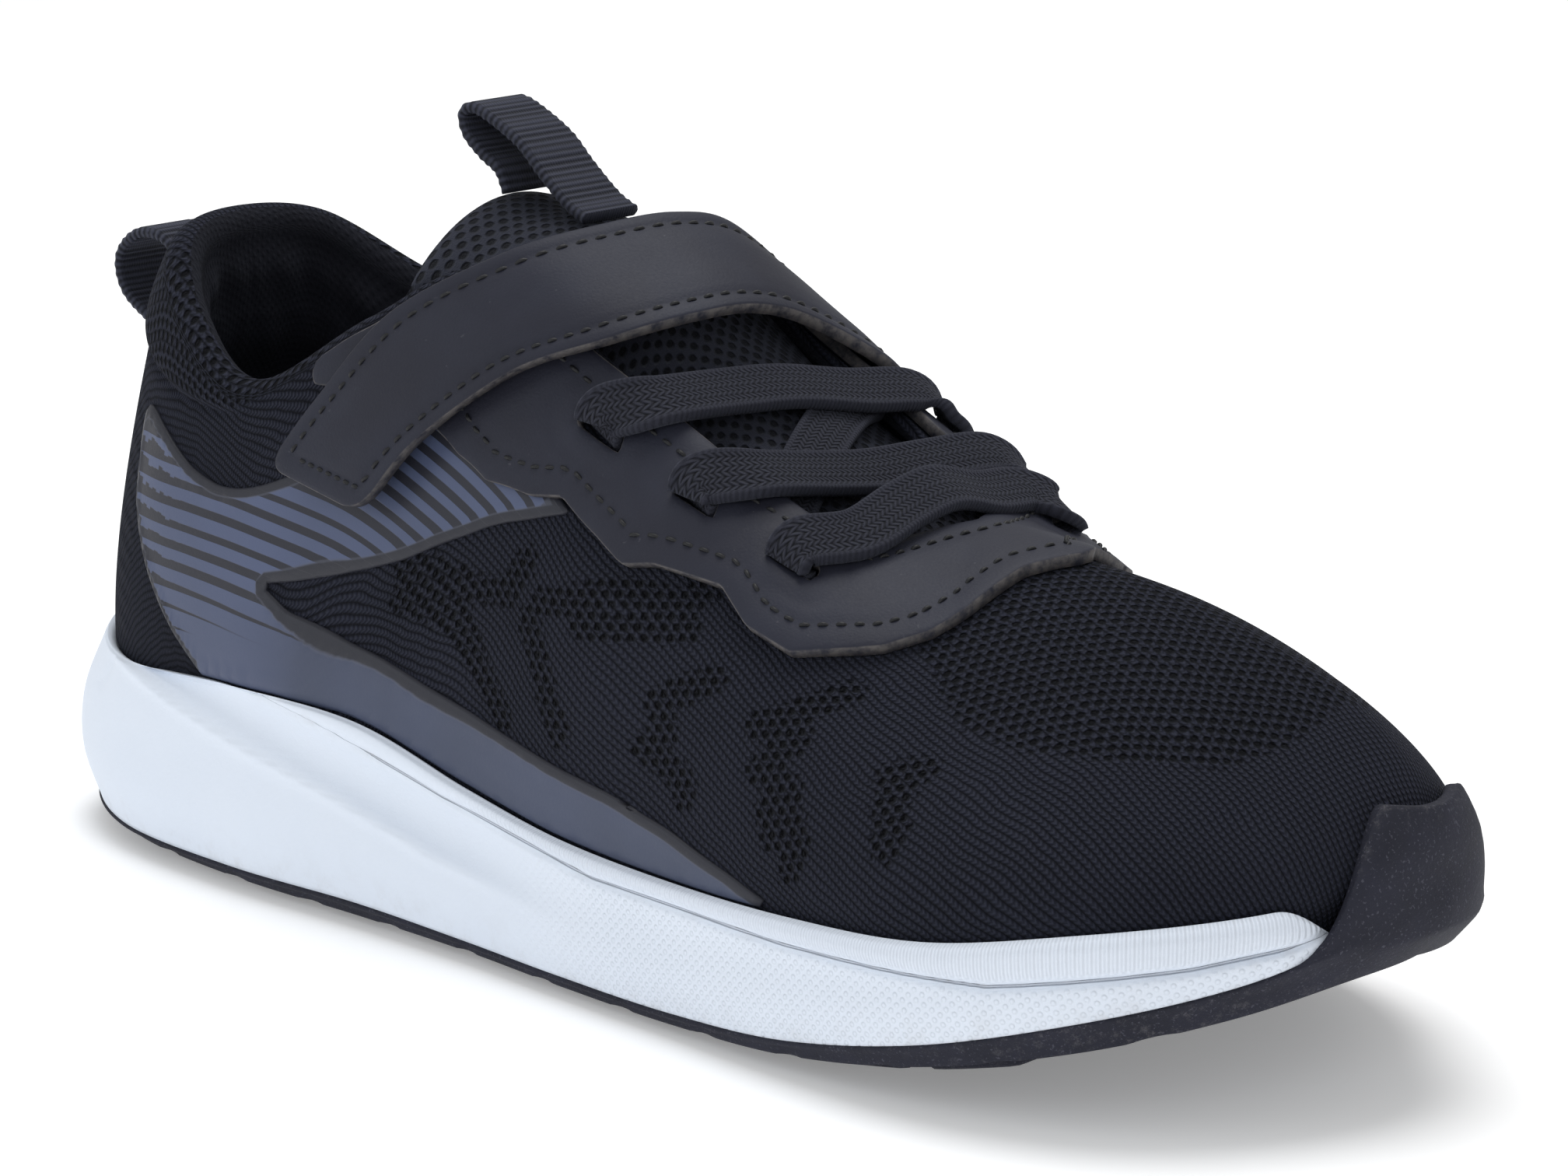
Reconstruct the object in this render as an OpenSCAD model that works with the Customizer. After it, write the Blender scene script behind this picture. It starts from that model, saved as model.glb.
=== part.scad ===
// Child's running shoe, right foot: knitted upper with a strap over the
// instep, elastic lace bands, padded tongue and a rockered foam sole.
// Toe towards +X, outer side of the foot towards -Y, ground at z = 0.

/* [Shoe] */
// Overall length, heel to toe
shoe_len = 232; // [225:1:240]

/* [Sole] */
// Thickness of the rubber outsole plate
outsole_t = 2.6; // [2.2:0.1:3]
// Depth of the tread lugs
lug_h = 1.4; // [1:0.1:1.6]
// Width of the grooves between tread lugs
groove_w = 3; // [2:0.5:5]
// Thickness of the toe bumper wall
bumper_t = 2.2; // [1.6:0.1:2.6]
// Thickness of the board that closes the upper underneath
board_t = 1.4; // [1:0.1:1.6]
// Thickness of the removable insole
insole_t = 3.2; // [2:0.1:4]

/* [Upper] */
// Thickness of the knitted upper
knit_t = 1.6; // [1.2:0.1:1.8]
// Thickness of the textile lining
lining_t = 0.7; // [0.5:0.1:0.8]
// Thickness of the collar foam
foam_t = 4.6; // [3:0.1:5]
// Thickness of the heel counter
counter_t = 1.4; // [1:0.1:1.5]
// Thickness of the toe puff
puff_t = 0.8; // [0.6:0.1:0.9]
// Thickness of the bonded film side panels
film_t = 0.5; // [0.3:0.1:0.6]
// Thickness of the synthetic leather overlays
leather_t = 1.2; // [1:0.1:1.3]

/* [Laces and strap] */
// Width of the elastic lace bands
band_w = 7.5; // [6:0.5:8]
// Thickness of the elastic lace bands
band_t = 1.2; // [1:0.1:1.3]
// Thickness of the strap
strap_t = 1.9; // [1.6:0.1:2.1]
// Thickness of the hook and loop tapes
tape_t = 0.9; // [0.7:0.1:1]

/* [Tongue and loops] */
// Thickness of the padding inside the tongue
tongue_foam_t = 3.4; // [2:0.1:4]
// Thickness of the tongue's mesh face and of its lining
tongue_skin_t = 0.9; // [0.7:0.1:1]
// Width of the webbing loops
webbing_w = 10; // [8:0.5:11]
// Thickness of the webbing loops
webbing_t = 1.5; // [1.2:0.1:1.6]

/* [Hidden] */

gap = 0.15;            // play between layers of one body
kx = shoe_len / 232;   // stretch along the foot

// ---- Surface of the upper ------------------------------------------------
// Each station: feather point on the sole, top point on the collar, throat
// or vamp ridge, then how far the curve between them leans out and rises at
// the feather, and leans out and drops at the top.
outer_stations = [
    [-109, 0, 31,      -98, 0, 85.5,     0, 18,  4, 14],
    [-104, -17, 27.5,  -94, -14, 83.5,   0, 18,  4, 14],
    [-88, -28, 26.5,   -82, -23, 75.5,   1, 17,  2, 13],
    [-62, -32.5, 28.3, -64, -27.5, 68.8, 1, 16,  0, 12],
    [-36, -33, 28,     -43, -24.5, 80,   1, 18,  1, 15],
    [-14, -34, 23.5,   -25.5, -19.5, 87.8, 2, 22, 5, 15],
    [6, -36, 20.8,     -1.2, -17.5, 77, 3, 22,  8, 10],
    [28, -38, 20,      17.8, -17, 67.3,  4, 18, 11, 5],
    [50, -40, 20.5,    36.3, -13.5, 59.3, 4, 15, 13, 3],
    [72, -40, 22,      43, 1, 60.3,      4, 13, 18, 1],
    [91, -34, 25.5,    66, 3, 58.2,      4, 10, 16, 1.2],
    [104, -22, 27.6,   84, 4.2, 54,      3, 9,  12, 2.2],
    [110.5, -8, 29,    95, 4.6, 50.5,    2, 9,   9, 3],
    [112, 4.6, 29.5,   102, 4.7, 47,     2, 8,   6, 3.5]];
inner_stations = [
    [-104, 17, 28,     -94, 14, 83.5,    0, 18,  4, 14],
    [-88, 27.5, 27.5,  -82, 23, 75.5,    1, 17,  2, 13],
    [-62, 31, 29,      -64, 27, 69.5,    1, 16,  0, 12],
    [-36, 30, 30,      -43, 24.5, 80,    1, 18,  1, 15],
    [-14, 29.5, 27.5,  -25.5, 19, 88.4,  2, 22,  5, 15],
    [6, 31, 24.5,      -2, 17, 77.8,     3, 22,  7, 9],
    [28, 35, 22.5,     16.5, 16.5, 68.8, 4, 18,  9, 5],
    [50, 39, 22.5,     35.5, 13.5, 60.5, 4, 15, 10, 3],
    [71, 39, 24,       43, 1, 60.3,      3, 12, 14, 1],
    [88, 33, 26.5,     66, 3, 58.2,      3, 9,  12, 1.2],
    [100, 23.5, 28.5,  84, 4.2, 54,      2, 8,   9, 2.2],
    [109, 15, 29.3,    95, 4.6, 50.5,    2, 7,   7, 3]];
toe_u = 13;            // station at the toe
ridge_u = 9;           // station where the throat ends and the ridge starts
ring_u = 2 * toe_u;    // stations once round the shoe, heel to heel
stations = concat(outer_stations, [for (i = [len(inner_stations) - 1:-1:0]) inner_stations[i]]);

// Sole stations, the same on both sides: height of the footbed, height and
// overhang of the ground edge, height and overhang of the rubber's top edge,
// and overhang of the foam's fullest line.
sole_stations = [
    [21, 2.6, 0, 6, 4, 6.6],
    [21, 1.8, 0, 4.4, 3, 5.4],
    [21, 1.4, 0.2, 3.2, 2, 3.6],
    [20.5, 1.4, 0.4, 3.2, 1.5, 2.5],
    [19.5, 1.4, 0.6, 3.4, 1.5, 2.1],
    [18, 1.4, 0.8, 3, 1.5, 2],
    [16.5, 1.4, 1, 2.9, 1.5, 2],
    [15.5, 1.6, 1, 3.2, 1.5, 2],
    [15, 3, 1, 5, 1.6, 2],
    [16, 6.6, 1, 9.4, 1.7, 2.1],
    [18.5, 11.2, 0.8, 14.9, 1.8, 2.1],
    [21, 15.2, 0.2, 19.5, 2, 2.3],
    [23.4, 18, -0.4, 24, 3, 3],
    [24.2, 19, -0.6, 25, 3.8, 3.4]];

function wrap(u) = u - ring_u * floor(u / ring_u);
function from_heel(u) = min(wrap(u), ring_u - wrap(u));
function pull(a, b, c, d, t) =
    (2 * t ^ 3 - 3 * t ^ 2 + 1) * b + (t ^ 3 - 2 * t ^ 2 + t) * (c - a) / 2
    + (3 * t ^ 2 - 2 * t ^ 3) * c + (t ^ 3 - t ^ 2) * (d - b) / 2;
function ring_row(u) = let (i = floor(u), n = ring_u)
    pull(stations[(i - 1 + n) % n], stations[i % n], stations[(i + 1) % n],
        stations[(i + 2) % n], u - i);
// Smooth curve through a list of numbers or points, straight on past its ends
function along(list, u) = let (n = len(list) - 1, i = max(0, min(n - 1, floor(u))))
    pull(i == 0 ? 2 * list[0] - list[1] : list[i - 1], list[i], list[i + 1],
        i == n - 1 ? 2 * list[n] - list[n - 1] : list[i + 2], u - i);
function mix(a, b, t) = a + (b - a) * t;
function ramp(a, b, x) = let (t = max(0, min(1, (x - a) / (b - a)))) t * t * (3 - 2 * t);
function unit(v) = v / norm(v);
function flat(p) = [p[0], p[1], 0];

// Feather point and the level direction out of the shoe there
function feather(u) = let (r = ring_row(wrap(u))) [r[0] * kx, r[1], r[2]];
function outward(u) = let (d = feather(u + 0.01) - feather(u - 0.01)) unit([d[1], -d[0], 0]);
function top_point(r) = [r[3] * kx, r[4], r[5]];
// Over the vamp both sides share one ridge
function on_ridge(u) = from_heel(u) > ridge_u - 0.01;
function top_edge(u) = on_ridge(u)
    ? (top_point(ring_row(from_heel(u))) + top_point(ring_row(ring_u - from_heel(u)))) / 2
    : top_point(ring_row(wrap(u)));
function skin(u, v) = let (
    r = ring_row(wrap(u)),
    foot = [r[0] * kx, r[1], r[2]],
    top = top_edge(u),
    foot_pull = foot + outward(u) * r[6] + [0, 0, r[7]],
    top_pull = top + unit(flat(foot - top)) * r[8] - [0, 0, r[9]])
    (1 - v) ^ 3 * foot + 3 * (1 - v) ^ 2 * v * foot_pull
    + 3 * (1 - v) * v ^ 2 * top_pull + v ^ 3 * top;
function raw_normal(u, v) = unit(cross(
    skin(u + 0.01, v) - skin(u - 0.01, v),
    skin(u, min(v + 0.01, 1)) - skin(u, max(v - 0.01, 0))));
function normal(u, v) = v > 0.99 && on_ridge(u)
    ? let (a = from_heel(u)) unit(raw_normal(a, 0.97) + raw_normal(ring_u - a, 0.97))
    : raw_normal(u, v);
// The upper's edge is tucked in and down from the feather to the footbed
tuck_in = 2.5;
function bed_z(u) = along(sole_stations, from_heel(u))[0];
function tucked(u, v, d) = let (f = feather(u), low = bed_z(u) + 0.2, n = outward(u))
    [f[0], f[1], 0] + n * (d + v * tuck_in) + [0, 0, f[2] - v * (low - f[2])];
// Point on the upper: u round the shoe, v from feather to top, d outwards
function on_upper(u, v, d) = v < 0 ? tucked(u, v, d)
    : v > 0.99 && on_ridge(u) ? top_edge(from_heel(u)) + normal(u, v) * d
    : skin(u, v) + normal(u, v) * d;
// Point on the sole, o outwards from the feather outline
function on_sole(u, o, z) = let (f = feather(u)) [f[0], f[1], 0] + outward(u) * o + [0, 0, z];

// ---- Solids from triangles -----------------------------------------------
function quad(a, b, c, d) = [[a, b, c], [a, c, d]];
function is_face(t) = norm(t[0] - t[1]) > 1e-5 && norm(t[1] - t[2]) > 1e-5
    && norm(t[2] - t[0]) > 1e-5;
module solid(triangles) {
    kept = [for (t = triangles) if (is_face(t)) t];
    polyhedron(
        points = [for (t = kept) each t],
        faces = [for (i = [0:len(kept) - 1]) [3 * i, 3 * i + 2, 3 * i + 1]]);
}
// Slab between two grids of points; edges lists which of the four sides are
// closed: first column, last column, low row, high row
function slab(under, over, edges = [1, 1, 1, 1]) = let (
    n = len(over) - 1,
    m = len(over[0]) - 1)
    [for (i = [0:n - 1]) for (j = [0:m - 1]) each concat(
        quad(over[i][j], over[i + 1][j], over[i + 1][j + 1], over[i][j + 1]),
        quad(under[i][j], under[i][j + 1], under[i + 1][j + 1], under[i + 1][j]),
        edges[0] == 1 && i == 0
            ? quad(under[0][j], over[0][j], over[0][j + 1], under[0][j + 1]) : [],
        edges[1] == 1 && i == n - 1
            ? quad(under[n][j + 1], over[n][j + 1], over[n][j], under[n][j]) : [],
        edges[2] == 1 && j == 0
            ? quad(under[i][0], under[i + 1][0], over[i + 1][0], over[i][0]) : [],
        edges[3] == 1 && j == m - 1
            ? quad(over[i][m], over[i + 1][m], under[i + 1][m], under[i][m]) : [])];
// Solid of a profile carried round the shoe and filled across at both ends
ring_step = 0.5;
function ring_solid(profiles) = let (
    n = len(profiles),
    half = n / 2,
    m = len(profiles[0]) - 1)
    concat(
        [for (i = [0:n - 1]) let (a = profiles[i], b = profiles[(i + 1) % n])
            for (j = [0:m - 1]) each quad(a[j], b[j], b[j + 1], a[j + 1])],
        [for (i = [0:half - 1]) let (
            a = profiles[i],
            b = profiles[i + 1],
            c = profiles[n - i - 1],
            d = profiles[(n - i) % n])
            each concat(quad(b[0], a[0], d[0], c[0]), quad(a[m], b[m], c[m], d[m]))]);
function round_shoe() = [for (u = [0:ring_step:ring_u - ring_step]) u];
// Ribbon swept along two edge lines, from d0 to d1 off its under face
function ribbon_side(a, b, n, d) = [a + n * d, mix(a, b, 0.5) + n * d, b + n * d];
function ribbon(left, right, d0, d1) = let (
    last = len(left) - 1,
    face = [for (i = [0:last]) let (
        ahead = left[min(i + 1, last)] + right[min(i + 1, last)],
        behind = left[max(i - 1, 0)] + right[max(i - 1, 0)])
        unit(cross(right[i] - left[i], ahead - behind))])
    slab([for (i = [0:last]) ribbon_side(right[i], left[i], face[i], d0)],
        [for (i = [0:last]) ribbon_side(right[i], left[i], face[i], d1)]);

// ---- Sole ------------------------------------------------------------------
// How much of the toe bumper stands at a station, 0 to 1
function bumper(u) = ramp(11.45, 12.3, from_heel(u));
bumper_v = 0.36;       // how far the bumper climbs the toe
function sole_row(u) = along(sole_stations, from_heel(u));
function outsole_profile(u) = let (
    r = sole_row(u),
    b = bumper(u),
    f = feather(u)[2],
    climb = bumper_v * b,
    low = r[1] + outsole_t)
    [on_sole(u, -6, r[1]),
        on_sole(u, r[2], r[1]),
        on_sole(u, mix(r[4], r[2], 0.35), mix(r[1], r[3], 0.5)),
        on_sole(u, r[4], r[3]),
        mix(on_sole(u, r[4] - 0.2, r[3]), on_sole(u, 0.6 + bumper_t * 1.2, f), b),
        mix(on_sole(u, r[4] - 0.4, r[3]), on_upper(u, climb / 2, 0.6 + bumper_t), b),
        mix(on_sole(u, r[4] - 0.6, r[3]), on_upper(u, climb, 0.3 + bumper_t), b),
        mix(on_sole(u, r[4] - 0.8, r[3]), on_upper(u, climb, 0.4), b),
        mix(on_sole(u, r[4] - 0.95, r[3]), on_upper(u, climb / 2, 0.6), b),
        mix(on_sole(u, r[4] - 1.1, r[3]), on_sole(u, 0.5, f), b),
        mix(on_sole(u, r[4] - 1.25, r[3]), on_sole(u, 0.3, r[0] - 0.4), b),
        on_sole(u, -1.5 - 2 * b, low),
        on_sole(u, -6, low)];
function midsole_profile(u) = let (
    r = sole_row(u),
    b = ramp(11.3, 12.1, from_heel(u)),
    f = feather(u)[2],
    low = r[1] + outsole_t + gap,
    rise = f - r[3])
    [on_sole(u, -6, low),
        on_sole(u, -1.5 - 2.2 * b, low),
        mix(on_sole(u, r[4] - 1.25, r[3] + gap), on_sole(u, -0.5, r[0] - 0.6), b),
        mix(on_sole(u, r[4], r[3] + gap), on_sole(u, -0.4, r[0] - 0.55), b),
        mix(on_sole(u, r[5], r[3] + rise * 0.3), on_sole(u, -0.36, r[0] - 0.5), b),
        mix(on_sole(u, r[5] - 0.4, r[3] + rise * 0.62), on_sole(u, -0.36, r[0] - 0.45), b),
        mix(on_sole(u, 1.9, f - 1.2), on_sole(u, -0.38, r[0] - 0.4), b),
        mix(on_sole(u, 1.1, f), on_sole(u, -0.4, r[0] - 0.35), b),
        mix(on_sole(u, gap, f - 0.3), on_sole(u, -0.5, r[0] - 0.3), b),
        on_sole(u, gap - tuck_in, r[0] - 0.1),
        on_sole(u, -6, r[0] - 0.1)];
// Flat tread lugs under the level part of the sole
lug_rows = [-94, -78, -62, -46, -30, -14, 2, 18, 34];
lug_root = 1.2;        // how far a lug runs up into the plate
function lug_half(x, side) = let (ends = [for (u = [1:0.25:8]) side < 0 ? u : ring_u - u])
    max([for (u = ends) if (abs(feather(u)[0] - x) < 12) abs(feather(u)[1]) - 3.5]);
module tread_lugs() {
    for (i = [0:len(lug_rows) - 2]) {
        x0 = lug_rows[i] * kx + groove_w / 2;
        x1 = lug_rows[i + 1] * kx - groove_w / 2;
        for (side = [-1, 1]) {
            edge0 = min(lug_half(x0, side), lug_half(x1, side));
            linear_extrude(height = lug_h + lug_root)
                polygon([[x0, side * groove_w / 2], [x1, side * groove_w / 2],
                    [x1 + 2, side * edge0], [x0 + 2, side * edge0]]);
        }
    }
}
module outsole() {
    color("#3b3d42") {
        solid(ring_solid([for (u = round_shoe()) outsole_profile(u)]));
        tread_lugs();
    }
}
module midsole() {
    color("#eef2f8") solid(ring_solid([for (u = round_shoe()) midsole_profile(u)]));
}
function plate_profile(u, inset, z0, z1) = let (z = sole_row(u)[0])
    [on_sole(u, -inset - 3, z + z0), on_sole(u, -inset, z + z0),
        on_sole(u, -inset, z + z1), on_sole(u, -inset - 3, z + z1)];
board_inset = tuck_in + knit_t + gap;
insole_inset = board_inset + lining_t + 0.35;
module lasting_board() {
    color("#d9d4c6") solid(ring_solid([for (u = round_shoe())
        plate_profile(u, board_inset, 0.05, board_t)]));
}
module insole() {
    color("#2b2d33") solid(ring_solid([for (u = round_shoe())
        plate_profile(u, insole_inset, board_t + gap, board_t + gap + insole_t)]));
}

// ---- Layers of the upper ------------------------------------------------------
// How deep the lining lies under the knit, past heel counter, foam and toe puff
function heel_zone(u) = 1 - ramp(3.9, 4.3, from_heel(u));
function toe_zone(u) = ramp(10.4, 11, from_heel(u));
function stuffing(u, v) = (counter_t + gap) * heel_zone(u)
    + (foam_t - counter_t) * heel_zone(u) * ramp(0.5, 0.68, v) * (1 - 0.6 * ramp(0.86, 1, v))
    + (puff_t + gap) * toe_zone(u);
function lining_depth(u, v) = knit_t + gap + stuffing(u, max(v, 0));
knit_rows = [-1, -0.5, 0, 0.12, 0.25, 0.38, 0.5, 0.6, 0.68, 0.78, 0.88, 0.95, 1];
function layer(us, vs, d) = [for (u = us) [for (v = vs) on_upper(u, v, d)]];
// A wrap round the whole shoe, open at feather and throat, whole over the toe
module wrapped(vs, outer_d, inner_d) {
    us = [for (u = [0:ring_step:ring_u]) wrap(u)];
    over = [for (u = us) [for (v = vs) on_upper(u, v, -outer_d)]];
    under = [for (u = us) [for (v = vs) on_upper(u, v, -inner_d)]];
    last = len(vs) - 1;
    throat = [for (i = [0:len(us) - 2])
        if (from_heel(us[i]) < ridge_u - 0.01 || from_heel(us[i + 1]) < ridge_u - 0.01)
            each quad(over[i][last], over[i + 1][last], under[i + 1][last], under[i][last])];
    solid(concat(slab(under, over, [0, 0, 1, 0]), throat));
}
module knit_upper() {
    color("#33363e") wrapped(knit_rows, 0, knit_t);
}
// Rows of a lining: deeper where something is stuffed behind it
function lining_grid(us, vs, extra) = [for (u = us)
    [for (v = vs) on_upper(u, v, -lining_depth(u, v) - extra)]];
lining_rows = [-0.5, 0, 0.12, 0.25, 0.38, 0.5, 0.6, 0.68, 0.78, 0.88, 0.95, 1];
module forefoot_lining() {
    seam = lining_seam + 0.05;
    us = concat([seam], [for (u = [5:ring_step:ring_u - 5]) u], [ring_u - seam]);
    over = lining_grid(us, lining_rows, 0);
    under = lining_grid(us, lining_rows, lining_t);
    last = len(lining_rows) - 1;
    throat = [for (i = [0:len(us) - 2])
        if (from_heel(us[i]) < ridge_u - 0.01 || from_heel(us[i + 1]) < ridge_u - 0.01)
            each quad(over[i][last], over[i + 1][last], under[i + 1][last], under[i][last])];
    color("#24262c") solid(concat(slab(under, over, [1, 1, 1, 0]), throat));
}
lining_seam = 4.45;    // where the collar lining meets the forefoot lining
function round_heel(n) = [for (k = [-n:n]) k * ring_step];
module collar_lining() {
    us = concat([-lining_seam], round_heel(8), [lining_seam]);
    color("#1f2126") solid(slab(lining_grid(us, lining_rows, lining_t),
        lining_grid(us, lining_rows, 0)));
}
module collar_foam() {
    us = round_heel(8);
    vs = [0.6, 0.68, 0.78, 0.88, 0.95];
    color("#8f949c") solid(slab(
        [for (u = us) [for (v = vs) on_upper(u, v, gap - lining_depth(u, v))]],
        layer(us, vs, -knit_t - gap / 2)));
}
module heel_counter() {
    us = round_heel(8);
    vs = [0.02, 0.12, 0.25, 0.38, 0.5];
    color("#b8a98a") solid(slab(layer(us, vs, -knit_t - counter_t + gap / 2),
        layer(us, vs, -knit_t - gap / 2)));
}
// The toe puff is a cap: its last station folds shut along the toe's middle
module toe_puff() {
    us = [for (u = [11:0.5:15]) u];
    vs = [0.12, 0.25, 0.38, 0.5, 0.6, 0.68, 0.78, 0.88, 0.95, 1];
    color("#a99d86") solid(slab(layer(us, vs, -knit_t - gap / 2 - puff_t),
        layer(us, vs, -knit_t - gap / 2), [1, 1, 1, 0]));
}

// ---- Overlays -------------------------------------------------------------
// A piece laid on the upper: columns of [u, [v, v, ...]], on the outer side,
// or mirrored to the inner side
function columns(us, lows, highs, rows) = [for (i = [0:len(us) - 1])
    [us[i], [for (j = [0:rows]) mix(lows[i], highs[i], j / rows)]]];
function other_side(cols) = [for (i = [len(cols) - 1:-1:0]) [ring_u - cols[i][0], cols[i][1]]];
function laid(cols, d0, d1, edges = [1, 1, 1, 1]) = slab(
    [for (c = cols) [for (v = c[1]) on_upper(c[0], v, d0)]],
    [for (c = cols) [for (v = c[1]) on_upper(c[0], v, d1)]], edges);

// Side panel: a heel field that forks into an upper and a lower branch
panel_fork = 3.25;
heel_us = [1.75, 1.9, 2.2, 2.5, 2.8, 3.05, panel_fork];
heel_low = [0.6, 0.42, 0.27, 0.14, 0.02, 0.02, 0.02];
heel_mid = [0.63, 0.55, 0.48, 0.42, 0.37, 0.34, 0.32];
heel_high = [0.67, 0.67, 0.65, 0.62, 0.61, 0.62, 0.63];
arm_us = [panel_fork, 3.85, 4.45, 5, 5.5, 5.85];
arm_low = [0.32, 0.35, 0.4, 0.46, 0.54, 0.61];
arm_high = [0.63, 0.66, 0.68, 0.67, 0.65, 0.62];
leg_us = [panel_fork, 3.45, 3.95, 4.6, 5.3, 5.9, 6.5, 7, 7.5, 7.85];
leg_high = [0.32, 0.25, 0.19, 0.16, 0.145, 0.14, 0.14, 0.12, 0.07, 0.03];
module side_panel(inner) {
    lower = columns(heel_us, heel_low, heel_mid, 3);
    upper = columns(heel_us, heel_mid, heel_high, 3);
    arm = columns(arm_us, arm_low, arm_high, 3);
    leg = columns(leg_us, [for (u = leg_us) 0.02], leg_high, 3);
    pieces = [[lower, [1, 0, 1, 0]], [upper, [1, 0, 0, 1]], [arm, [0, 1, 1, 1]],
        [leg, [0, 1, 1, 1]]];
    solid([for (p = pieces) each inner
        ? laid(other_side(p[0]), gap, gap + film_t, [p[1][1], p[1][0], p[1][2], p[1][3]])
        : laid(p[0], gap, gap + film_t, p[1])]);
}
module outer_side_panel() {
    color("#6f7686") side_panel(false);
}
module inner_side_panel() {
    color("#6f7686") side_panel(true);
}

// Eyestay: a U of synthetic leather round the throat, with three lace slots
// a side. Its lower edge steps down in scallops.
stay_edge = [[4.68, 0.66], [4.95, 0.6], [5.2, 0.57], [5.55, 0.59], [5.8, 0.63], [6.15, 0.6], [6.4, 0.58], [6.65, 0.62],
    [7.2, 0.66], [7.45, 0.61], [7.8, 0.6], [8.5, 0.63], [8.85, 0.65], [9.1, 0.71], [9.4, 0.85],
    [9.7, 0.97]];
slot_low = 0.79;       // rows that bound the lace slots
slot_high = 0.84;
// Columns on each side, the first of each trio being where a slot starts
outer_us = [4.68, 4.95, 5.2, 5.5, 5.8, 6.15, 6.4, 6.65, 7, 7.2, 7.45, 7.8, 8.1, 8.5, 8.85, 9, 9.2, 9.45, 9.7];
outer_slots = [5.8, 6.65, 7.45];
inner_us = [5.2, 5.6, 6, 6.4, 6.72, 7.07, 7.25, 7.48, 7.83, 7.93, 8.05, 8.35, 8.7, 9, 9.2, 9.45, 9.7];
inner_slots = [6.72, 7.48, 8.05];
function is_slot(u, slots) = len([for (s = slots) if (abs(u - s) < 0.01) s]) > 0;
function stay_rows(low) = low < slot_low - 0.06
    ? [low, mix(low, slot_low, 0.5), slot_low, slot_high, 0.92, 1]
    : [for (j = [0:5]) mix(low, 1, j / 5)];
function stay_column(u) = [u, stay_rows(lookup(u, stay_edge))];
stay_d0 = film_t + 2 * gap;
stay_d1 = stay_d0 + leather_t;
// One cell column of the eyestay, closed where it is cut away beside it
function stay_strip(u0, u1, rows, ends, low, high) =
    [[for (c = [stay_column(u0), stay_column(u1)]) [c[0], [for (j = rows) c[1][j]]]],
        [ends[0], ends[1], low, high]];
function stay_pieces(us, slots) = let (last = len(us) - 2)
    [for (i = [0:last]) let (
        a = us[i],
        b = us[i + 1],
        ends = [i == 0 ? 1 : 0, i == last ? 1 : 0],
        top = a < ridge_u - 0.01 ? 1 : 0)
        each is_slot(a, slots)
            ? [stay_strip(a, b, [0, 1, 2], ends, 1, 1),
                stay_strip(a, b, [3, 4, 5], ends, 1, top),
                stay_strip(a, b, [2, 3], ends, 0, 0)]
            : [stay_strip(a, b, [0, 1, 2, 3, 4, 5], ends, 1, top)]];
function stay_side(inner) = [for (p = inner
        ? stay_pieces(inner_us, inner_slots) : stay_pieces(outer_us, outer_slots))
    each len(p[0][0][1]) == 2
        ? slot_walls(inner ? other_side(p[0]) : p[0])
        : laid(inner ? other_side(p[0]) : p[0], stay_d0, stay_d1,
            inner ? [p[1][1], p[1][0], p[1][2], p[1][3]] : p[1])];
// The two end walls of a slot; its long walls come with the strips beside it
function slot_walls(cols) = let (
    a = [for (v = cols[0][1]) [on_upper(cols[0][0], v, stay_d0), on_upper(cols[0][0], v, stay_d1)]],
    b = [for (v = cols[1][1]) [on_upper(cols[1][0], v, stay_d0), on_upper(cols[1][0], v, stay_d1)]])
    concat(quad(a[0][1], a[0][0], a[1][0], a[1][1]), quad(b[0][0], b[0][1], b[1][1], b[1][0]));
module eyestay() {
    color("#3a3c43") solid(concat(stay_side(false), stay_side(true)));
}
module strap_base() {
    cols = columns([3.65, 3.95, 4.3, 4.62], [0.88, 0.8, 0.76, 0.73],
        [0.95, 0.96, 0.96, 0.96], 3);
    color("#3a3c43") solid(laid(cols, stay_d0, stay_d1));
}
module loop_tape() {
    cols = columns([3.62, 3.85, 4.15, 4.45], [0.635, 0.6, 0.565, 0.625], [0.68, 0.73, 0.74, 0.71], 2);
    color("#2a2c31") solid(laid(cols, stay_d0, stay_d0 + tape_t));
}

// ---- Strap ------------------------------------------------------------------
// Rear and front edges of the strap's under face, from its free end on the
// outer side, over the tongue, down to its root on the inner side
strap_lift = stay_d1 + 0.35;
grip_lift = strap_lift + tape_t;   // the free end rides on both tapes
strap_rear = [on_upper(3.45, 0.66, grip_lift), on_upper(3.8, 0.8, grip_lift),
    on_upper(4.4, 0.93, grip_lift + 0.4), [-21.6 * kx, -19.2, 89.9], [-14.5 * kx, -9, 93],
    [-11 * kx, 0, 93.8], [-10 * kx, 9, 91.4], on_upper(ring_u - 5.6, 0.94, strap_lift + 0.4),
    on_upper(ring_u - 5.75, 0.78, strap_lift)];
strap_front = [on_upper(4.2, 0.49, grip_lift), on_upper(4.7, 0.62, grip_lift),
    on_upper(5.4, 0.8, grip_lift + 0.4), [-2 * kx, -19.1, 81.4], [3 * kx, -9.5, 83.6],
    [5 * kx, -1, 83.8], [6 * kx, 8, 81], on_upper(ring_u - 6.5, 0.94, strap_lift + 0.4),
    on_upper(ring_u - 6.55, 0.78, strap_lift)];
function strap_edge(list, a, b, n) = [for (k = [0:n]) along(list, mix(a, b, k / n))];
module strap() {
    color("#3f4148") solid(ribbon(strap_edge(strap_rear, 0, 8, 24),
        strap_edge(strap_front, 0, 8, 24), 0, strap_t));
}
module hook_tape() {
    color("#26282d") solid(ribbon(
        strap_edge(strap_rear, 0.15, 0.95, 4),
        strap_edge(strap_front, 0.15, 0.95, 4), -tape_t - gap, -gap));
}
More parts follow.
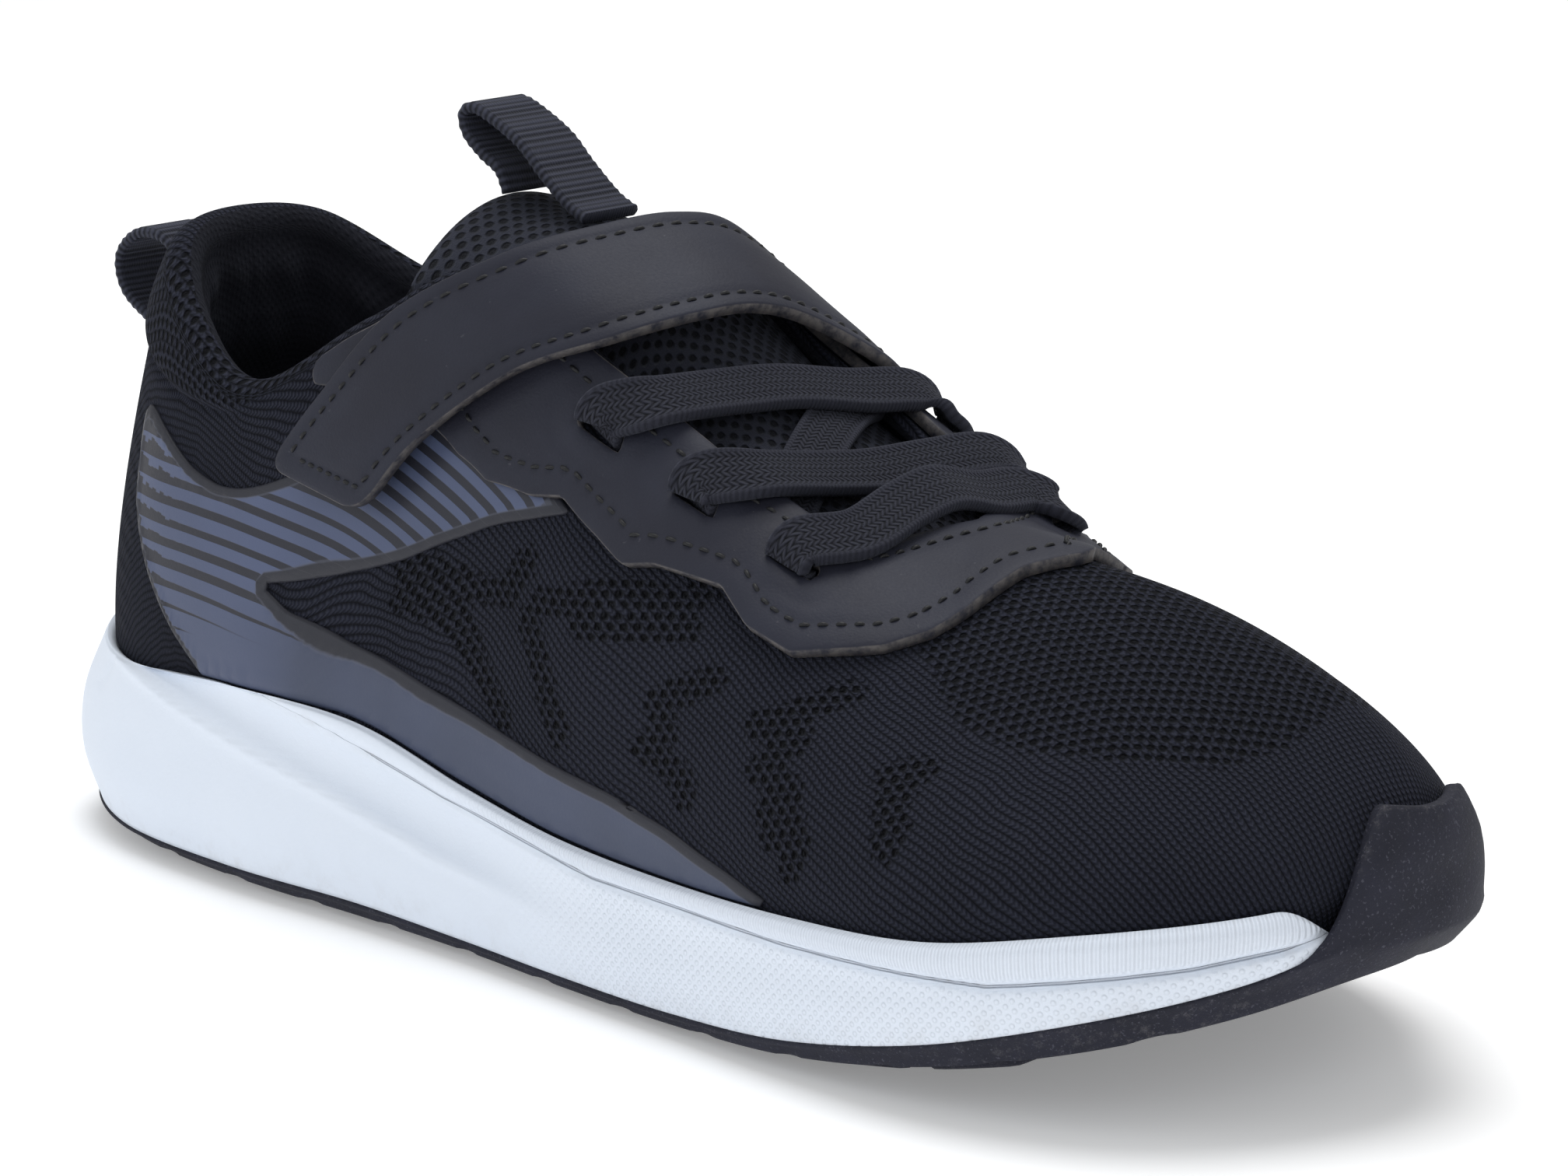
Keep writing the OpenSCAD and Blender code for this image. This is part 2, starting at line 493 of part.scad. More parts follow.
module strap_root() {
    cols = columns([5.75, 6.15, 6.55], [0.6, 0.6, 0.6], [0.765, 0.765, 0.765], 2);
    color("#3f4148") solid(laid(other_side(cols), stay_d1 + gap, stay_d1 + gap + leather_t));
}

// ---- Tongue -----------------------------------------------------------------
// Each station along the tongue: x and z of its middle, half width, and how
// far its edges curl down
tongue_stations = [
    [53, 51, 10, 6], [43, 53.2, 13, 7], [36, 56.6, 14.5, 6.5], [26, 62.6, 17, 6],
    [14, 69.4, 17.8, 6.5], [2, 77.3, 17.5, 8], [-10, 86, 17.3, 10], [-21.5, 91.8, 17, 9.5],
    [-33, 93.6, 18, 9], [-42.5, 94.2, 20, 10.5]];
tongue_top = 9;
tongue_split = 6.87;   // station where the tongue bends
function on_tongue(t, s, d) = let (
    r = along(tongue_stations, t),
    e = along(tongue_stations, t + 0.02) - along(tongue_stations, t - 0.02),
    across = [0, r[2], -2 * r[3] * s],
    n = unit(cross([-e[0] * kx, 0, -e[1]], across)))
    [r[0] * kx, r[2] * s, r[1] - r[3] * s * s] + n * d;
function tongue_layer(t0, t1, n, d) = [for (i = [0:n])
    [for (s = [1, 0.75, 0.5, 0.25, 0, -0.25, -0.5, -0.75, -1]) on_tongue(mix(t0, t1, i / n), s, d)]];
function tongue_part(t0, t1, n, d0, d1) = slab(tongue_layer(t0, t1, n, d0),
    tongue_layer(t0, t1, n, d1));
face_d = -tongue_skin_t;
fill_d = face_d - gap - tongue_foam_t;
lining_d = fill_d - gap - tongue_skin_t;
module tongue_mesh() {
    color("#30333b") solid(tongue_part(0, tongue_split - 0.02, 9, face_d, 0));
}
module tongue_foam() {
    color("#8f949c") solid(tongue_part(0.1, tongue_split - 0.02, 9, fill_d, face_d - gap));
}
module tongue_lining() {
    color("#24262c") solid(tongue_part(0.1, tongue_split - 0.02, 9, lining_d, fill_d - gap));
}
module tongue_top_mesh() {
    color("#30333b") solid(tongue_part(tongue_split + 0.02, tongue_top, 8, face_d, 0));
}
module tongue_top_foam() {
    color("#8f949c") solid(tongue_part(tongue_split + 0.02, tongue_top - 0.1, 8, fill_d,
        face_d - gap));
}
module tongue_top_lining() {
    color("#24262c") solid(tongue_part(tongue_split + 0.02, tongue_top, 8, lining_d,
        fill_d - gap));
}
// Webbing loop: a band carried along a middle line in the x z plane
function webbing(path) = let (
    n = 4 * (len(path) - 1),
    mid = [for (k = [0:n]) let (p = along(path, k / 4)) [p[0] * kx, 0, p[1]]])
    ribbon([for (p = mid) p + [0, webbing_w / 2, 0]], [for (p = mid) p - [0, webbing_w / 2, 0]],
        -webbing_t / 2, webbing_t / 2);
tongue_loop_path = [[-22, 93.2], [-25.5, 94.8], [-30.3, 98.4], [-34, 101.6], [-38.5, 104],
    [-43, 105.6], [-45.3, 104.6], [-44.6, 102], [-41.6, 99.6], [-38.5, 97.8], [-37, 95]];
module tongue_pull_loop() {
    color("#3d4048") solid(webbing(tongue_loop_path));
}
heel_loop_path = [[-103.6, 77.5], [-108.5, 80.3], [-113.8, 79.6], [-117.2, 76],
    [-116, 71.5], [-110.5, 68], [-104.8, 65.5]];
module heel_pull_loop() {
    color("#33363e") solid(webbing(heel_loop_path));
}
module heel_tab() {
    cols = [for (u = [-0.35, 0, 0.35]) [u, [0.5, 0.6, 0.7, 0.8, 0.88]]];
    color("#33363e") solid(laid(cols, gap, gap + 0.6));
}

// ---- Lace bands ---------------------------------------------------------------
// A band runs from a slot on the outer side up over the tongue and down to a
// slot on the inner side; sag is how far its middle hangs below a straight line
band_lift = stay_d1 + 0.9;
function over_mid(u0, u1, sag) = let (
    b = on_upper(u0 + 0.36, 0.97, band_lift),
    c = on_upper(ring_u - u1 + 0.1, 0.97, band_lift),
    down = [0, 0, -sag])
    [on_upper(u0, slot_high + 0.01, band_lift), b, mix(b, c, 0.27) + down * 0.7,
        mix(b, c, 0.5) + down, mix(b, c, 0.76) + down * 0.3, c,
        on_upper(ring_u - u1, slot_high + 0.01, band_lift)];
// A cross band lies on the tongue, its ends tucked under the throat edges
function cross_mid(t0, s0, t1, s1) = [for (k = [0:6])
    on_tongue(mix(t0, t1, k / 6), mix(s0, s1, k / 6), 0.55)];
function band_edge(mid, side) = let (n = 18)
    [for (k = [0:n]) let (
        t = k / n * (len(mid) - 1),
        p = along(mid, t),
        ahead = unit(along(mid, min(t + 0.1, len(mid) - 1)) - along(mid, max(t - 0.1, 0))),
        width = unit([1, 0, -0.62] - ([1, 0, -0.62] * ahead) * ahead))
        p + width * side * band_w / 2];
module band(mid) {
    color("#383b43") solid(ribbon(band_edge(mid, -1), band_edge(mid, 1), 0, band_t));
}
module lace_band_front() {
    band(over_mid(7.6, 8.08, -3));
}
module lace_band_middle() {
    band(over_mid(6.82, 7.62, 1));
}
module lace_band_rear() {
    band(over_mid(5.97, 6.9, -1.2));
}
module cross_band_front() {
    band(cross_mid(2.2, -0.82, 3.3, 0.82));
}
module cross_band_rear() {
    band(cross_mid(3.2, -0.78, 4.7, 0.7));
}

outsole();
midsole();
lasting_board();
insole();
knit_upper();
forefoot_lining();
collar_lining();
collar_foam();
heel_counter();
toe_puff();
outer_side_panel();
inner_side_panel();
eyestay();
strap_base();
loop_tape();
strap_root();
strap();
hook_tape();
tongue_mesh();
tongue_foam();
tongue_lining();
tongue_top_mesh();
tongue_top_foam();
tongue_top_lining();
tongue_pull_loop();
heel_tab();
heel_pull_loop();
lace_band_front();
lace_band_middle();
lace_band_rear();
cross_band_front();
cross_band_rear();
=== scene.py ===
"""Looks of the running shoe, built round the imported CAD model. Lengths are in mm until a mesh is made."""
import math

import bmesh
import bpy
import numpy as np
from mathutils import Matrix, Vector
from mathutils.kdtree import KDTree


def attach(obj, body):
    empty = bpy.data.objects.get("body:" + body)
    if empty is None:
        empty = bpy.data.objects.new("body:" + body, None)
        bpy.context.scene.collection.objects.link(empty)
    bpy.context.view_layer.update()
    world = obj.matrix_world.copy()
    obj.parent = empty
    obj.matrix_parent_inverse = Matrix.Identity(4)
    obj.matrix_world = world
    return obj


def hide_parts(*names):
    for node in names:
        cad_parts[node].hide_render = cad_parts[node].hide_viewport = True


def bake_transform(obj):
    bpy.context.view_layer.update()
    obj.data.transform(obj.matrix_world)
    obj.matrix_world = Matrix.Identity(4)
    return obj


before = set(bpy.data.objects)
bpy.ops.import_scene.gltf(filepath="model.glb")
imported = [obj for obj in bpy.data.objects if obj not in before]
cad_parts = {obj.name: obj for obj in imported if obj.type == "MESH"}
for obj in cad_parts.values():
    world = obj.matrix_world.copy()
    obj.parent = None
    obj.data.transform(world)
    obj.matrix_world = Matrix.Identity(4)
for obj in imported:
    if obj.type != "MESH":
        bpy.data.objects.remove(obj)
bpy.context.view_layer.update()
MM = 0.001

# ---- The upper's surface, as in the CAD model ----
# Rows: feather point, top point, lean and rise at the feather, lean and drop at the top
OUTER = [
    [-109, 0, 31, -98, 0, 85.5, 0, 18, 4, 14],
    [-104, -17, 27.5, -94, -14, 83.5, 0, 18, 4, 14],
    [-88, -28, 26.5, -82, -23, 75.5, 1, 17, 2, 13],
    [-62, -32.5, 28.3, -64, -27.5, 68.8, 1, 16, 0, 12],
    [-36, -33, 28, -43, -24.5, 80, 1, 18, 1, 15],
    [-14, -34, 23.5, -25.5, -19.5, 87.8, 2, 22, 5, 15],
    [6, -36, 20.8, -1.2, -17.5, 77, 3, 22, 8, 10],
    [28, -38, 20, 17.8, -17, 67.3, 4, 18, 11, 5],
    [50, -40, 20.5, 36.3, -13.5, 59.3, 4, 15, 13, 3],
    [72, -40, 22, 43, 1, 60.3, 4, 13, 18, 1],
    [91, -34, 25.5, 66, 3, 58.2, 4, 10, 16, 1.2],
    [104, -22, 27.6, 84, 4.2, 54, 3, 9, 12, 2.2],
    [110.5, -8, 29, 95, 4.6, 50.5, 2, 9, 9, 3],
    [112, 4.6, 29.5, 102, 4.7, 47, 2, 8, 6, 3.5]]
INNER = [
    [-104, 17, 28, -94, 14, 83.5, 0, 18, 4, 14],
    [-88, 27.5, 27.5, -82, 23, 75.5, 1, 17, 2, 13],
    [-62, 31, 29, -64, 27, 69.5, 1, 16, 0, 12],
    [-36, 30, 30, -43, 24.5, 80, 1, 18, 1, 15],
    [-14, 29.5, 27.5, -25.5, 19, 88.4, 2, 22, 5, 15],
    [6, 31, 24.5, -2, 17, 77.8, 3, 22, 7, 9],
    [28, 35, 22.5, 16.5, 16.5, 68.8, 4, 18, 9, 5],
    [50, 39, 22.5, 35.5, 13.5, 60.5, 4, 15, 10, 3],
    [71, 39, 24, 43, 1, 60.3, 3, 12, 14, 1],
    [88, 33, 26.5, 66, 3, 58.2, 3, 9, 12, 1.2],
    [100, 23.5, 28.5, 84, 4.2, 54, 2, 8, 9, 2.2],
    [109, 15, 29.3, 95, 4.6, 50.5, 2, 7, 7, 3]]
RING = np.array(OUTER + INNER[::-1], float)
N = len(RING)
# The row where the shoe's opening ends, and the row of the toe
RIDGE, TOE = 9, 13
# Footbed z, ground edge z and overhang, rubber's top z and overhang, foam's fullest overhang
SOLE = np.array([
    [21, 2.6, 0, 6, 4, 6.6], [21, 1.8, 0, 4.4, 3, 5.4], [21, 1.4, 0.2, 3.2, 2, 3.6],
    [20.5, 1.4, 0.4, 3.2, 1.5, 2.5], [19.5, 1.4, 0.6, 3.4, 1.5, 2.1],
    [18, 1.4, 0.8, 3, 1.5, 2], [16.5, 1.4, 1, 2.9, 1.5, 2], [15.5, 1.6, 1, 3.2, 1.5, 2],
    [15, 3, 1, 5, 1.6, 2], [16, 6.6, 1, 9.4, 1.7, 2.1], [18.5, 11.2, 0.8, 14.9, 1.8, 2.1],
    [21, 15.2, 0.2, 19.5, 2, 2.3], [23.4, 18, -0.4, 24, 3, 3], [24.2, 19, -0.6, 25, 3.8, 3.4]])


def pull(a, b, c, d, t):
    """Smooth curve from b to c, with a and d as its neighbours."""
    return ((2 * t**3 - 3 * t**2 + 1) * b + (t**3 - 2 * t**2 + t) * (c - a) / 2
            + (3 * t**2 - 2 * t**3) * c + (t**3 - t**2) * (d - b) / 2)


def ring_row(u):
    """The row of RING at any place round the shoe."""
    u = np.mod(np.asarray(u, float), N)
    i = np.floor(u).astype(int)
    t = (u - i)[..., None]
    return pull(RING[(i - 1) % N], RING[i % N], RING[(i + 1) % N], RING[(i + 2) % N], t)


def along(rows, u):
    """Smooth curve through rows, straight on past its ends."""
    rows = np.asarray(rows, float)
    n = len(rows) - 1
    padded = np.vstack([2 * rows[:1] - rows[1:2], rows, 2 * rows[-1:] - rows[-2:-1]])
    u = np.asarray(u, float)
    i = np.clip(np.floor(u).astype(int), 0, n - 1)
    return pull(padded[i], padded[i + 1], padded[i + 2], padded[i + 3], (u - i)[..., None])


def from_heel(u):
    """Rows from the heel, whichever side."""
    w = np.mod(u, N)
    return np.minimum(w, N - w)


def ramp(a, b, x):
    """0 below a, 1 above b, smooth between."""
    t = np.clip((np.asarray(x, float) - a) / (b - a), 0, 1)
    return t * t * (3 - 2 * t)


def unit(v):
    return v / np.maximum(np.linalg.norm(v, axis=-1, keepdims=True), 1e-9)


def flat(p):
    return p * np.array([1, 1, 0])


def feather(u):
    """The line where the upper meets the sole."""
    return ring_row(u)[..., :3]


def outward(u):
    """Level direction away from the shoe."""
    d = feather(u + 0.01) - feather(u - 0.01)
    return unit(np.stack([d[..., 1], -d[..., 0], 0 * d[..., 0]], -1))


def top_edge(u):
    """The opening's edge, and past RIDGE the line where the two sides meet."""
    w = from_heel(u)
    own = ring_row(u)[..., 3:6]
    both = (ring_row(w)[..., 3:6] + ring_row(N - w)[..., 3:6]) / 2
    return np.where((w > RIDGE - 0.01)[..., None], both, own)


def skin(u, v):
    """The upper's surface: u counts rows round the shoe from the heel, v runs from the feather to the top."""
    u, v = np.broadcast_arrays(np.asarray(u, float), np.asarray(v, float))
    r = ring_row(u)
    foot, top = r[..., :3], top_edge(u)
    up = np.array([0, 0, 1.0])
    c1 = foot + outward(u) * r[..., 6:7] + up * r[..., 7:8]
    c2 = top + unit(flat(foot - top)) * r[..., 8:9] - up * r[..., 9:10]
    v = v[..., None]
    return (1 - v)**3 * foot + 3 * (1 - v)**2 * v * c1 + 3 * (1 - v) * v**2 * c2 + v**3 * top


def raw_normal(u, v):
    return unit(np.cross(skin(u + 0.01, v) - skin(u - 0.01, v),
                         skin(u, np.minimum(v + 0.01, 1)) - skin(u, np.maximum(v - 0.01, 0))))


def normal(u, v):
    """Outward direction of the upper, the same for both sides along the ridge."""
    u, v = np.broadcast_arrays(np.asarray(u, float), np.asarray(v, float))
    w = from_heel(u)
    n = raw_normal(u, np.clip(v, 0, 1))
    blend = np.where(w > RIDGE - 0.01, ramp(0.93, 1, v), 0)[..., None]
    mid = unit(raw_normal(w, 0.97 + 0 * w) + raw_normal(N - w, 0.97 + 0 * w))
    return unit(np.nan_to_num(n) * (1 - blend) + mid * blend)


TUCK = 2.5
# Height v of the seam below the collar, by distance from the heel in rows
V_SEAM = [[0, 0.72], [1.5, 0.745], [2.2, 0.78], [2.65, 0.85], [3.35, 0.94], [3.9, 1.0], [13, 1.0]]


def lookup(table, x):
    t = np.array(table, float)
    return np.interp(x, t[:, 0], t[:, 1])


def relief(u, v):
    """How far the knit swells over the collar padding and dips at its seam."""
    w = from_heel(u)
    seam = lookup(V_SEAM, w)
    fat = 1 - ramp(2.3, 3.4, w)
    s = np.clip((v - seam) / np.maximum(1 - seam, 0.02), 0, 1)
    return fat * (1.3 * np.sin(np.pi * np.sqrt(s)) - 0.5 * np.exp(-((v - seam) / 0.018)**2))


def upper(u, v, d=0.0):
    """Point on the upper: round the shoe, from the feather to the top, d outwards."""
    u, v = np.broadcast_arrays(np.asarray(u, float), np.asarray(v, float))
    d = np.asarray(d, float) + relief(u, v)
    p = skin(u, np.clip(v, 0, 1)) + normal(u, v) * d[..., None]
    low = np.minimum(v, 0)
    f, n = feather(u), outward(u)
    bed = along(SOLE, from_heel(u))[..., 0] + 0.2
    tucked = flat(f) + n * (d + low * TUCK)[..., None]
    tucked[..., 2] = f[..., 2] - low * (bed - f[..., 2])
    return np.where((v < 0)[..., None], tucked, p)


def on_sole(u, o, z):
    """A point at height z, o outwards from the feather."""
    f = feather(u)
    p = flat(f) + outward(u) * np.asarray(o, float)[..., None]
    p[..., 2] = z
    return p


# ---- The upper laid out flat, in mm, so that patterns and outlines have true sizes ----
PER_ROW, LEVELS = 20, 64
TU = np.linspace(0, N, PER_ROW * N + 1)
TV = np.linspace(0, 1, LEVELS + 1)
GU, GV = np.meshgrid(TU, TV, indexing="ij")
GP = skin(GU, GV)
STEPS = np.linalg.norm(np.diff(GP, axis=1), axis=-1)
# Length from each point up the wall to the top edge
ARC = np.concatenate([np.cumsum(STEPS[:, ::-1], 1)[:, ::-1], np.zeros((len(TU), 1))], 1)
HEIGHT = ARC[:, 0]


def table(T, u, v):
    """A value of the table T, between its points."""
    x = np.mod(u, N) * PER_ROW
    y = np.clip(v, 0, 1) * LEVELS
    i = np.clip(x.astype(int), 0, PER_ROW * N - 1)
    j = np.clip(y.astype(int), 0, LEVELS - 1)
    a, b = x - i, y - j
    return ((1 - a) * (1 - b) * T[i, j] + a * (1 - b) * T[i + 1, j]
            + (1 - a) * b * T[i, j + 1] + a * b * T[i + 1, j + 1])


def layout_runs():
    """The flat layout's direction down the wall, evened out along the waist, where it would cross itself."""
    run = unit(flat(feather(TU[:-1]) - top_edge(TU[:-1])))
    even = unit(sum(np.roll(run, k, 0) for k in range(-30, 31, 5)))
    w = from_heel(TU[:-1])
    share = (ramp(3.4, 4.3, w) * (1 - ramp(6.5, 7.4, w)))[:, None]
    run = unit(run + (even - run) * share)
    return np.vstack([run, run[:1]])


RUN = layout_runs()


def chart(u, v):
    """Where points of the upper lie in the flat layout."""
    u, v = np.broadcast_arrays(np.asarray(u, float), np.asarray(v, float))
    top = top_edge(u)
    away = unit(np.stack([np.interp(u % N, TU, RUN[:, k]) for k in range(3)], -1))
    reach = table(ARC, u, v) + np.maximum(-v, 0) * 6
    return (top + away * reach[..., None])[..., :2]


GC = chart(GU, GV)
NEAREST = KDTree(GU.size)
for k, c in enumerate(GC.reshape(-1, 2)):
    NEAREST.insert((c[0], c[1], 0), k)
NEAREST.balance()


def unchart(q):
    """The (u, v) of points of the flat layout."""
    k = np.array([NEAREST.find((a, b, 0))[1] for a, b in q])
    u, v = GU.reshape(-1)[k].copy(), GV.reshape(-1)[k].copy()
    h = 0.004
    # Newton steps from the table's nearest point
    for _ in range(4):
        v = np.clip(v, 0.0, 1.0)
        f = chart(u, v) - q
        du = (chart(u + h, v) - chart(u - h, v)) / (2 * h)
        va, vb = np.maximum(v - h, 0), np.minimum(v + h, 1)
        dv = (chart(u, vb) - chart(u, va)) / (vb - va)[:, None]
        det = du[:, 0] * dv[:, 1] - du[:, 1] * dv[:, 0]
        det = np.where(np.abs(det) < 1e-3, 1e-3, det)
        su = (f[:, 0] * dv[:, 1] - f[:, 1] * dv[:, 0]) / det
        sv = (du[:, 0] * f[:, 1] - du[:, 1] * f[:, 0]) / det
        u, v = u - np.clip(su, -0.1, 0.1), v - np.clip(sv, -0.05, 0.05)
    return u, np.clip(v, 0, 1)


# ---- Meshes ----
def reworked(mesh, change):
    """Runs one bmesh operation over a whole mesh."""
    bm = bmesh.new()
    bm.from_mesh(mesh)
    change(bm)
    bm.to_mesh(mesh)
    bm.free()


def piece(name, points, faces, material, body="shoe", mm=None, zone=None, replaces=(), weld=0.0,
          closed=False):
    """A mesh from points in mm, with its material, the body it rides and the CAD nodes it replaces."""
    mesh = bpy.data.meshes.new(name)
    mesh.from_pydata((np.reshape(points, (-1, 3)) * MM).tolist(), [], [list(map(int, f)) for f in faces])
    for label, values in (("mm", mm), ("zone", zone)):
        if values is not None:
            attribute = mesh.attributes.new(label, "FLOAT_VECTOR", "POINT")
            attribute.data.foreach_set("vector", np.asarray(values, np.float32).reshape(-1))
    obj = bpy.data.objects.new(name, mesh)
    bpy.context.scene.collection.objects.link(obj)
    if weld:
        reworked(mesh, lambda bm: bmesh.ops.remove_doubles(bm, verts=bm.verts, dist=weld * MM))
    if closed:
        reworked(mesh, lambda bm: bmesh.ops.recalc_face_normals(bm, faces=bm.faces))
    mesh.polygons.foreach_set("use_smooth", [True] * len(mesh.polygons))
    mesh.materials.append(material)
    if body:
        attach(obj, body)
    if replaces:
        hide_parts(*replaces)
    return obj


def triples(a, b, c):
    """Three values for each point, as an attribute holds them."""
    return np.stack(np.broadcast_arrays(a, b, c), -1)


def grid_faces(n, m, loop_n=False, loop_m=False, base=0):
    """Quads of an n by m grid of points, row by row; it closes on itself where asked."""
    i = np.arange(n if loop_n else n - 1)
    j = np.arange(m if loop_m else m - 1)
    I, J = np.meshgrid(i, j, indexing="ij")
    a, b = I * m + J, ((I + 1) % n) * m + J
    c, d = ((I + 1) % n) * m + (J + 1) % m, I * m + (J + 1) % m
    return np.stack([a, b, c, d], -1).reshape(-1, 4) + base


def soften(points, reach, rounds):
    """A closed outline with its corners cut off, round after round; reach spaces its first points."""
    p = np.asarray(points, float)
    q = []
    for a, b in zip(p, np.roll(p, -1, 0)):
        k = max(1, int(np.linalg.norm(b - a) / reach))
        q += [a + (b - a) * t / k for t in range(k)]
    q = np.array(q)
    for _ in range(rounds):
        after = np.roll(q, -1, 0)
        q = np.stack([0.75 * q + 0.25 * after, 0.25 * q + 0.75 * after], 1).reshape(-1, 2)
    return q


def nearest_on(lines, q):
    """Distance, nearest point and inward direction for points q, over closed outlines."""
    best = np.full(len(q), 1e9)
    foot = np.zeros((len(q), 2))
    inward = np.zeros((len(q), 2))
    for line in lines:
        a, b = line, np.roll(line, -1, 0)
        ab = b - a
        ln = np.maximum((ab**2).sum(1), 1e-9)
        nrm = unit(np.stack([-ab[:, 1], ab[:, 0]], -1))
        for s in range(0, len(q), 4000):
            qq = q[s:s + 4000]
            t = np.clip(((qq[:, None] - a) * ab).sum(-1) / ln, 0, 1)
            p = a + ab * t[..., None]
            dd = np.linalg.norm(qq[:, None] - p, axis=-1)
            k = dd.argmin(1)
            r = np.arange(len(qq))
            m = dd[r, k] < best[s:s + 4000]
            best[s:s + 4000] = np.where(m, dd[r, k], best[s:s + 4000])
            foot[s:s + 4000] = np.where(m[:, None], p[r, k], foot[s:s + 4000])
            inward[s:s + 4000] = np.where(m[:, None], nrm[k], inward[s:s + 4000])
    return best, foot, inward


def contains(lines, q):
    """Whether each point lies inside the outlines, by the even-odd rule."""
    odd = np.zeros(len(q), int)
    for line in lines:
        for a, b in zip(line, np.roll(line, -1, 0)):
            if a[1] == b[1]:
                continue
            cross = (a[1] > q[:, 1]) != (b[1] > q[:, 1])
            x = a[0] + (q[:, 1] - a[1]) * (b[0] - a[0]) / (b[1] - a[1])
            odd += cross & (q[:, 0] < x)
    return odd % 2 == 1


def area(line):
    x, y = line[:, 0], line[:, 1]
    return 0.5 * (x * np.roll(y, -1) - y * np.roll(x, -1)).sum()


def wind(lines):
    """The outline first, anticlockwise, then its holes, clockwise."""
    out = []
    for i, line in enumerate(lines):
        good = area(line) > 0 if i == 0 else area(line) < 0
        out.append(line if good else line[::-1])
    return out


def sheet_mesh(lines, step, lift, top, bottom, bevel=0.25):
    """A flat-laid piece cut to closed outlines, thick from bottom to top.

    lift(points, height) gives points in space; top(distance to the edge, points) is the height.
    Returns points, faces and the mm attribute."""
    lines = wind(lines)
    lo, hi = lines[0].min(0) - step, lines[0].max(0) + step
    nx, ny = [int(c) + 2 for c in (hi - lo) / step]
    gx, gy = np.meshgrid(lo[0] + np.arange(nx) * step, lo[1] + np.arange(ny) * step, indexing="ij")
    q = np.stack([gx, gy], -1).reshape(-1, 2)
    cells = grid_faces(nx, ny)
    keep = contains(lines, q[cells].mean(1))
    cells = cells[keep]
    used, inverse = np.unique(cells, return_inverse=True)
    cells = inverse.reshape(-1, 4)
    q = q[used].copy()
    count = np.bincount(cells.reshape(-1), minlength=len(q))
    edges = {}
    for f in cells:
        for k in range(4):
            a, b = f[k], f[(k + 1) % 4]
            if (b, a) in edges:
                del edges[(b, a)]
            else:
                edges[(a, b)] = True
    rim = np.array(list(edges.keys()))
    edge_v = np.unique(rim)
    _, foot, _ = nearest_on(lines, q[edge_v])
    q[edge_v] = foot
    inner = np.ones(len(q), bool)
    inner[edge_v] = False
    for _ in range(4):
        total = np.zeros_like(q)
        for k in range(4):
            np.add.at(total, cells[:, k], q[cells].mean(1))
        q[inner] = total[inner] / count[inner][:, None]
    dist, _, _ = nearest_on(lines, q)
    _, _, inward = nearest_on(lines, q[edge_v] + 0)
    flat_q = q.copy()
    flat_q[edge_v] = q[edge_v] + inward * bevel
    dist[edge_v] = bevel
    heights = top(dist, flat_q)
    P = [lift(flat_q, heights)]
    where = {v: i for i, v in enumerate(edge_v)}
    hb = heights[edge_v]
    low = bottom + 0 * hb
    rings = [(q[edge_v], hb - bevel * 0.8), (q[edge_v], low)]
    faces = [cells]
    base = len(q)
    coords = [np.column_stack([flat_q, dist])]
    prev = {v: v for v in edge_v}
    for qq, hh in rings:
        P.append(lift(qq, hh))
        coords.append(np.column_stack([qq, 0 * hh]))
        now = {v: base + where[v] for v in edge_v}
        faces.append(np.array([[prev[b], prev[a], now[a], now[b]] for a, b in rim]))
        prev = now
        base += len(edge_v)
    # The underside, so that the piece is closed
    P.append(lift(flat_q[inner], bottom + 0 * heights[inner]))
    coords.append(np.column_stack([flat_q[inner], dist[inner]]))
    under = np.zeros(len(q), int)
    under[inner] = base + np.arange(inner.sum())
    for v in edge_v:
        under[v] = prev[v]
    faces.append(under[cells][:, ::-1])
    return np.vstack(P), np.vstack(faces), np.vstack(coords)


def lift_upper(q, h):
    """Points of the flat layout, h over the upper."""
    u, v = unchart(q)
    return upper(u, v, h)


def offset_path(line, d):
    """Points at a distance inside an outline."""
    line = wind([line])[0]
    tangent = unit(np.roll(line, -1, 0) - np.roll(line, 1, 0))
    q = line + np.stack([-tangent[:, 1], tangent[:, 0]], -1) * d
    slack = 0.12
    return q[nearest_on([line], q)[0] > d - slack]


def offset_loop(line, d):
    """The same as one run that comes back to its start."""
    q = offset_path(line, d)
    return [np.vstack([q, q[:1]])]


def lengths(line):
    """The length along a line up to each of its points."""
    return np.concatenate([[0], np.cumsum(np.linalg.norm(np.diff(line, axis=0), axis=1))])


def resample(q, pitch):
    """Points along a line, one each pitch."""
    s = lengths(q)
    t = np.arange(0, s[-1], pitch)
    return np.stack([np.interp(t, s, q[:, c]) for c in range(q.shape[1])], -1)


STITCH_RADIUS, STITCH_SIDES = 0.26, 6
# Along one stitch: place, height over the leather, and thickness
STITCH_AT = np.linspace(-0.5, 0.5, 5)
STITCH_RISE = np.array([-0.35, 0.05, 0.14, 0.05, -0.35])
STITCH_FAT = np.array([0.7, 1, 1.05, 1, 0.7])[None, :, None, None] * STITCH_RADIUS


